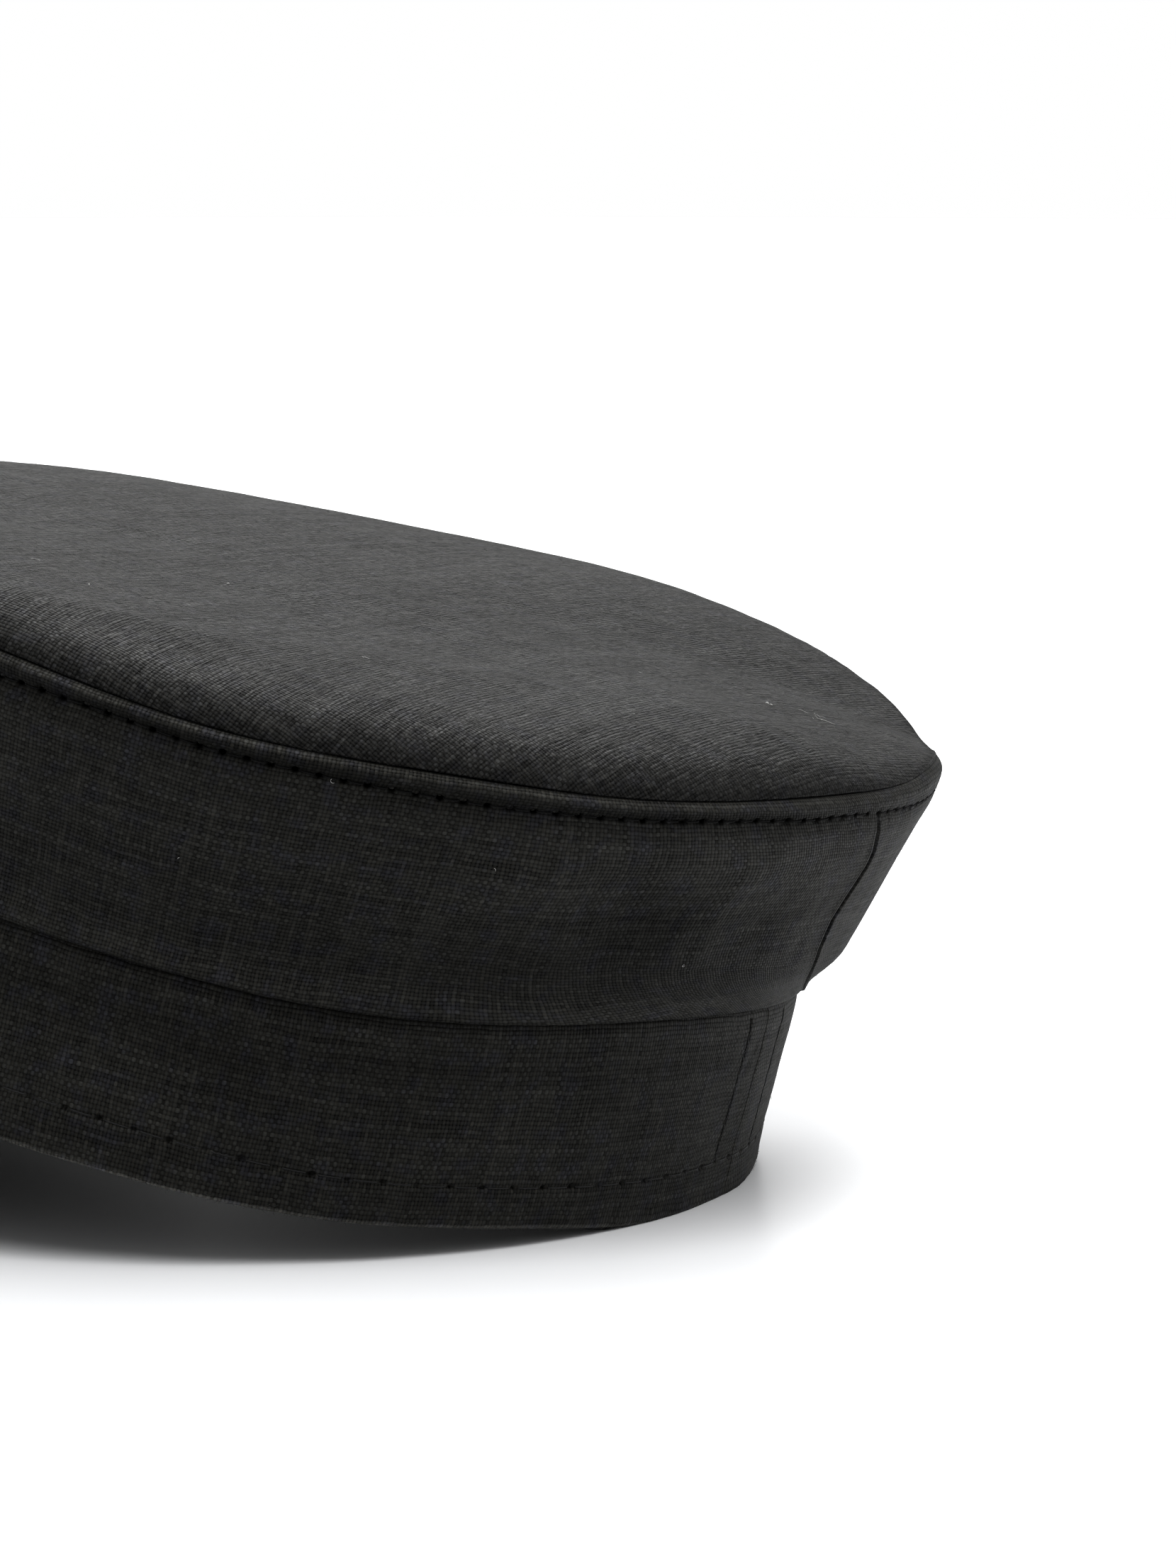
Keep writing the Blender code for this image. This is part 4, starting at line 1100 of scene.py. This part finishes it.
def linen(name, pw, pf, warp, weft, sheen=0.01, sheen_rough=0.4, rough=0.62, spec=0.234, depth=0.00020,
          tint=(0.92, 0.97, 1.0), mottle=0.25, colour=1.0):
    """Plain-woven slubby linen in mm from the cloth's own coordinates: upright
    threads every pw mm, cross threads every pf mm."""
    N = Net(name)
    uvn = N.nt.nodes.new("ShaderNodeUVMap")
    uvn.uv_map = "Cloth"
    sep = N.nt.nodes.new("ShaderNodeSeparateXYZ")
    N.put(sep.inputs[0], uvn.outputs[0])
    u, v = sep.outputs[0], sep.outputs[1]
    uv = N.xyz(u, v)
    # threads wander a little
    w1 = N.m("MULTIPLY", N.m("SUBTRACT", N.noise(uv, 0.16, 1.0), 0.5), 0.9)
    w2 = N.m("MULTIPLY", N.m("SUBTRACT", N.noise(N.xyz(v, u), 0.13, 1.0), 0.5), 0.9)
    a = N.m("ADD", N.m("DIVIDE", u, pw), w1)
    b = N.m("ADD", N.m("DIVIDE", v, pf), w2)
    i, j = N.m("FLOOR", a), N.m("FLOOR", b)
    fa = N.m("SUBTRACT", N.m("FRACT", a), 0.5)
    fb = N.m("SUBTRACT", N.m("FRACT", b), 0.5)
    # each thread's own thickness, which swells and thins along it
    own_a = N.white(N.xyz(i, 3.0))
    own_b = N.white(N.xyz(9.0, j))
    ni = N.noise(N.xyz(N.m("MULTIPLY", i, 7.31), N.m("MULTIPLY", v, 0.075)), 1.0, 2.0, 0.6)
    nj = N.noise(N.xyz(N.m("MULTIPLY", u, 0.075), N.m("MULTIPLY", j, 5.77)), 1.0, 2.0, 0.6)
    wi = N.m("ADD", N.m("MULTIPLY_ADD", ni, 0.30, 0.22), N.m("MULTIPLY", own_a, 0.10))
    wj = N.m("ADD", N.m("MULTIPLY_ADD", nj, 0.34, 0.25), N.m("MULTIPLY", own_b, 0.10))

    def round_(f, w):
        q = N.m("DIVIDE", f, w)
        return N.m("SQRT", N.m("MAXIMUM", N.m("SUBTRACT", 1.0, N.m("MULTIPLY", q, q)), 0.0))
    pa, pb = round_(fa, wi), round_(fb, wj)
    ca = N.m("COSINE", N.m("MULTIPLY", N.m("SUBTRACT", N.m("SUBTRACT", b, 0.5), i), math.pi))
    cb = N.m("COSINE", N.m("MULTIPLY", N.m("SUBTRACT", N.m("SUBTRACT", a, 0.5), j), math.pi))
    ha = N.m("ADD", N.m("MULTIPLY", pa, N.m("MULTIPLY_ADD", ni, 0.6, 0.25)), N.m("MULTIPLY", ca, 0.34))
    hb = N.m("SUBTRACT", N.m("MULTIPLY", pb, N.m("MULTIPLY_ADD", nj, 0.6, 0.25)), N.m("MULTIPLY", cb, 0.34))
    # an absent thread leaves the ground
    ha = N.m("SUBTRACT", ha, N.m("MULTIPLY", N.m("LESS_THAN", pa, 0.001), 1.0))
    hb = N.m("SUBTRACT", hb, N.m("MULTIPLY", N.m("LESS_THAN", pb, 0.001), 1.0))
    high = N.m("MAXIMUM", N.m("MAXIMUM", ha, hb), -0.25)
    is_warp = N.m("GREATER_THAN", ha, hb)
    is_weft = N.m("SUBTRACT", 1.0, is_warp)
    # fibres twisted along each thread
    fib_a = N.noise(N.xyz(N.m("MULTIPLY", u, 9.0), N.m("MULTIPLY_ADD", u, 3.0, v)), 1.0, 1.0)
    fib_b = N.noise(N.xyz(N.m("MULTIPLY_ADD", v, 3.0, u), N.m("MULTIPLY", v, 9.0)), 1.0, 1.0)
    fib = N.m("ADD", N.m("MULTIPLY", is_warp, fib_a), N.m("MULTIPLY", is_weft, fib_b))
    height = N.m("MULTIPLY_ADD", fib, 0.12, high)
    # painted shade of the weave: the crowns of the threads are painted light, their flanks darker and the gaps nearly
    # black, standing for the shade between threads; cross threads are the shinier ones
    lit = N.m("MULTIPLY_ADD", high, 0.85, 0.25, clamp=True)
    open_ = N.m("MULTIPLY_ADD", N.m("POWER", lit, WEAVE["power"]), WEAVE["crown"], WEAVE["gap"])
    slub_a = N.m("ADD", N.m("MULTIPLY_ADD", ni, 0.62, 0.56), N.m("MULTIPLY", own_a, 0.26))
    slub_b = N.m("ADD", N.m("MULTIPLY_ADD", nj, 0.62, 0.56), N.m("MULTIPLY", own_b, 0.26))
    kind = N.m("ADD", N.m("MULTIPLY", N.m("MULTIPLY", is_warp, slub_a), WEAVE["warp"]),
               N.m("MULTIPLY", N.m("MULTIPLY", is_weft, slub_b), WEAVE["weft"]))
    each = N.white(N.xyz(N.m("ADD", i, 0.5), N.m("ADD", j, 0.5)))
    fleck = N.m("MULTIPLY", N.m("MULTIPLY_ADD", fib, 0.8, 0.6), N.m("MULTIPLY_ADD", each, 0.34, 0.83))
    tone_and_painted_light = N.m("MULTIPLY", N.m("MULTIPLY", open_, kind), fleck)
    # large soft patches, as of handling and dye
    patch = N.noise(uv, 0.018, 3.0, 0.55)
    soft = N.m("MULTIPLY_ADD", patch, 0.34, 0.83)
    # fine mottle of hairy yarn, some threads wide
    if mottle:
        # and short thick places in the cross threads
        slubs = N.noise(N.xyz(N.m("MULTIPLY", u, 0.42), N.m("MULTIPLY", v, 1.9)), 1.0, 2.0, 0.6)
        grain = N.m("ADD", N.m("MULTIPLY", N.noise(uv, 0.85, 3.0, 0.7), 0.35), N.m("MULTIPLY", slubs, 0.65))
        height = N.m("MULTIPLY_ADD", grain, 2.4 * mottle, height)
        soft = N.m("MULTIPLY", soft, N.m("MULTIPLY_ADD", grain, 2 * mottle, 1 - mottle))
    tone_and_painted_light = N.m("MULTIPLY", tone_and_painted_light, soft)
    # the mesh's own painted light and shade, partly wear, brighten (+) or darken (-) the colour
    wear_light_layer = N.nt.nodes.new("ShaderNodeUVMap")
    wear_light_layer.uv_map = "WearAndPaintedLight"
    wsep = N.nt.nodes.new("ShaderNodeSeparateXYZ")
    N.put(wsep.inputs[0], wear_light_layer.outputs[0])
    tone_and_painted_light = N.m("MULTIPLY", tone_and_painted_light, N.m("ADD", 1.0, wsep.outputs[0]))
    hue = N.noise(N.xyz(v, u), 0.24, 2.0, 0.6)
    olive, blue = [tuple(1 + (c - 1) * colour for c in k) for k in ((1.14, 1.09, 0.74), (0.98, 0.98, 1.28))]
    tone_a = N.ramp(hue, [(0.52, tuple(c * k for c, k in zip(warp, olive))),
                          (0.72, tuple(c * k for c, k in zip(warp, blue)))])
    tone_b = N.ramp(hue, [(0.50, tuple(c * k for c, k in zip(weft, olive))),
                          (0.72, tuple(c * k for c, k in zip(weft, blue)))])
    col = N.mix(is_warp, tone_b, tone_a)
    vec = N.nt.nodes.new("ShaderNodeVectorMath")
    vec.operation = "SCALE"
    N.put(vec.inputs[0], col)
    N.put(vec.inputs["Scale"], tone_and_painted_light)
    N.put(N.bsdf.inputs["Base Color"], vec.outputs[0])
    # the painted light and shade also scale the specular level
    N.put(N.bsdf.inputs["Specular IOR Level"], N.m("MULTIPLY", tone_and_painted_light, spec))
    rgh = N.m("MULTIPLY_ADD", N.m("SUBTRACT", fib, 0.5), 0.25, rough)
    N.put(N.bsdf.inputs["Roughness"], N.m("ADD", rgh, N.m("MULTIPLY", N.m("SUBTRACT", patch, 0.5), 0.15)))
    N.bsdf.inputs["Sheen Weight"].default_value = sheen
    N.bsdf.inputs["Sheen Roughness"].default_value = sheen_rough
    N.bsdf.inputs["Sheen Tint"].default_value = (*tint, 1.0)
    bn = N.nt.nodes.new("ShaderNodeBump")
    bn.inputs["Strength"].default_value = 1.0
    bn.inputs["Distance"].default_value = depth
    N.put(bn.inputs["Height"], height)
    N.put(N.bsdf.inputs["Normal"], bn.outputs[0])
    return N.mat


def thread_material(name, colour, rough=0.5, spec=0.3, sheen=0.02):
    """A twisted sewing thread; its coordinates run along it and around it."""
    N = Net(name)
    uvn = N.nt.nodes.new("ShaderNodeUVMap")
    uvn.uv_map = "Cloth"
    sep = N.nt.nodes.new("ShaderNodeSeparateXYZ")
    N.put(sep.inputs[0], uvn.outputs[0])
    ply = N.m("FRACT", N.m("ADD", N.m("MULTIPLY", sep.outputs[0], 1.6), N.m("MULTIPLY", sep.outputs[1], 2.0)))
    ridge = N.m("SUBTRACT", 1.0, N.m("ABSOLUTE", N.m("MULTIPLY_ADD", ply, 2.0, -1.0)))
    # painted shade in the grooves between the plies and a painted highlight on their crests
    col = N.ramp(ridge, [(0.0, tuple(c * 0.6 for c in colour)), (0.6, colour), (1.0, tuple(c * 1.2 for c in colour))])
    N.put(N.bsdf.inputs["Base Color"], col)
    N.bsdf.inputs["Roughness"].default_value = rough
    N.bsdf.inputs["Specular IOR Level"].default_value = spec
    N.bsdf.inputs["Sheen Weight"].default_value = sheen
    bn = N.nt.nodes.new("ShaderNodeBump")
    bn.inputs["Strength"].default_value = 0.5
    bn.inputs["Distance"].default_value = 0.00006
    N.put(bn.inputs["Height"], ridge)
    N.put(N.bsdf.inputs["Normal"], bn.outputs[0])
    return N.mat


def give(ob, mat):
    ob.data.materials.clear()
    ob.data.materials.append(mat)


# ---- make it -----------------------------------------------------------------
WARP, WEFT = (0.0058, 0.0055, 0.0052), (0.0053, 0.0055, 0.0060)
top = build_top()
side = build_side()
band = build_band()
peak = build_peak()
give(top, linen("linen_top", 0.60, 0.70, WARP, WEFT, mottle=1.0, colour=0.55, spec=0.245))
give(side, linen("linen_side", 0.60, 0.67, WARP, WEFT))
give(band, linen("linen_band", 0.59, 0.72, WARP, WEFT))
give(peak, linen("linen_peak", 0.60, 0.70, WARP, WEFT))
thread = thread_material("sewing_thread", (0.010, 0.010, 0.010))
dull_thread = thread_material("dull_thread", (0.004, 0.004, 0.004), rough=0.7, spec=0.12)
for ob, slot, look in ((crown_stitches(), "side_linen", dull_thread), (hem_stitches(), "band_linen", thread),
                       (back_stitches(), "band_linen", dull_thread), (peak_stitches(), "peak_linen", thread)):
    give(ob, look)
    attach(ob, "root")

pale = thread_material("pale_lint", (0.42, 0.42, 0.41), rough=0.7, spec=0.3)
fibre = thread_material("loose_fibre", (0.035, 0.035, 0.033), rough=0.6, spec=0.3)
hem_fibre = thread_material("hem_fibre", (0.11, 0.11, 0.105), rough=0.6, spec=0.3)
for ob, slot, look in ((lint(), "crown_linen", pale),
                       (fuzz("hem_fuzz", hem_feet, 1800, 61, 0.2, 0.6, 0.022), "band_linen", hem_fibre),
                       (fuzz("ridge_fuzz", ridge_feet, 900, 62, 0.25, 0.8), "side_linen", fibre),
                       (fuzz("top_fuzz", top_feet, 1800, 63, 0.3, 1.2), "crown_linen", fibre),
                       (fuzz("side_fuzz", side_feet, 900, 64, 0.25, 0.9), "side_linen", fibre),
                       (fuzz("band_fuzz", band_feet, 700, 65, 0.25, 0.8), "band_linen", fibre)):
    give(ob, look)
    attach(ob, "root")

# ---- floor, light and camera --------------------------------------------------
bpy.ops.mesh.primitive_circle_add(vertices=96, radius=3.0, fill_type="NGON", location=(0, 0, -0.00005))
floor = bpy.context.object
floor.name = "floor"
fm = bpy.data.materials.new("floor_white")
fm.use_nodes = True
fb = fm.node_tree.nodes["Principled BSDF"]
fb.inputs["Base Color"].default_value = (0.86, 0.865, 0.875, 1)
fb.inputs["Roughness"].default_value = 0.3
fb.inputs["Specular IOR Level"].default_value = 0.4
give(floor, fm)

world = bpy.data.worlds.new("studio")
world.use_nodes = True
bpy.context.scene.world = world
wn = world.node_tree
bg = wn.nodes["Background"]
bg.inputs["Color"].default_value = (1, 1, 1, 1)
bg.inputs["Strength"].default_value = 0.72
white = wn.nodes.new("ShaderNodeBackground")
white.inputs["Color"].default_value = (1, 1, 1, 1)
white.inputs["Strength"].default_value = 1.0
path = wn.nodes.new("ShaderNodeLightPath")
mixw = wn.nodes.new("ShaderNodeMixShader")
wn.links.new(path.outputs["Is Camera Ray"], mixw.inputs[0])
wn.links.new(bg.outputs[0], mixw.inputs[1])
wn.links.new(white.outputs[0], mixw.inputs[2])
wn.links.new(mixw.outputs[0], wn.nodes["World Output"].inputs["Surface"])


def softbox(name, place, aim, size, power):
    data = bpy.data.lights.new(name, "AREA")
    data.shape = "DISK"
    data.size = size
    data.energy = power
    ob = bpy.data.objects.new(name, data)
    bpy.context.scene.collection.objects.link(ob)
    ob.location = place
    d = np.array(place, float) - np.array(aim, float)
    d /= np.linalg.norm(d)
    ref = np.array([0, 1.0, 0]) if abs(d[2]) > 0.99 else np.array([0, 0, 1.0])
    x = np.cross(ref, d)
    x /= np.linalg.norm(x)
    y = np.cross(d, x)
    from mathutils import Matrix
    ob.matrix_world = Matrix([[x[0], y[0], d[0], place[0]], [x[1], y[1], d[1], place[1]],
                              [x[2], y[2], d[2], place[2]], [0, 0, 0, 1]])
    return ob


phi, elev = math.radians(71.24), math.radians(7.85)


def around(angle, height, far=4.0):
    """A place far m from the hat: angle 0 is the camera's side, 90 its right."""
    th, e = phi - math.radians(angle), math.radians(height)
    return far * math.cos(e) * math.sin(th), far * math.cos(e) * math.cos(th), far * math.sin(e) + 0.05


HAT = (0, 0, 0.05)
softbox("overhead", (0, 0, 4.0), HAT, 3.2, 57)
softbox("behind", around(180, 45), HAT, 2.6, 109)
softbox("right", around(90, 40), HAT, 2.6, 48)
softbox("right_low", around(90, 14), HAT, 1.8, 13)
softbox("front", around(0, 62), HAT, 2.4, 115)

dist, tx, ty, scale = 1100.0, 62.63, 62.8, 8.5
c = np.array([math.sin(phi) * math.cos(elev), math.cos(phi) * math.cos(elev), math.sin(elev)])
r = np.cross([0, 0, 1], c)
r /= np.linalg.norm(r)
up = np.cross(c, r)
eye = (dist * c + tx * r + ty * up + SHIFT + np.array([0, 0, -SINK])) * MM
cam_data = bpy.data.cameras.new("camera")
cam_data.sensor_fit = "AUTO"
cam_data.sensor_width = 36.0
cam_data.lens = dist * scale * 36.0 / 2212.0
cam_data.clip_start = 0.05
cam_data.clip_end = 200
cam = bpy.data.objects.new("camera", cam_data)
bpy.context.scene.collection.objects.link(cam)
from mathutils import Matrix
cam.matrix_world = Matrix([[r[0], up[0], c[0], eye[0]], [r[1], up[1], c[1], eye[1]],
                           [r[2], up[2], c[2], eye[2]], [0, 0, 0, 1]])
bpy.context.scene.camera = cam

view = bpy.context.scene.view_settings
view.view_transform = "Standard"
view.look = "None"
view.gamma = 0.75
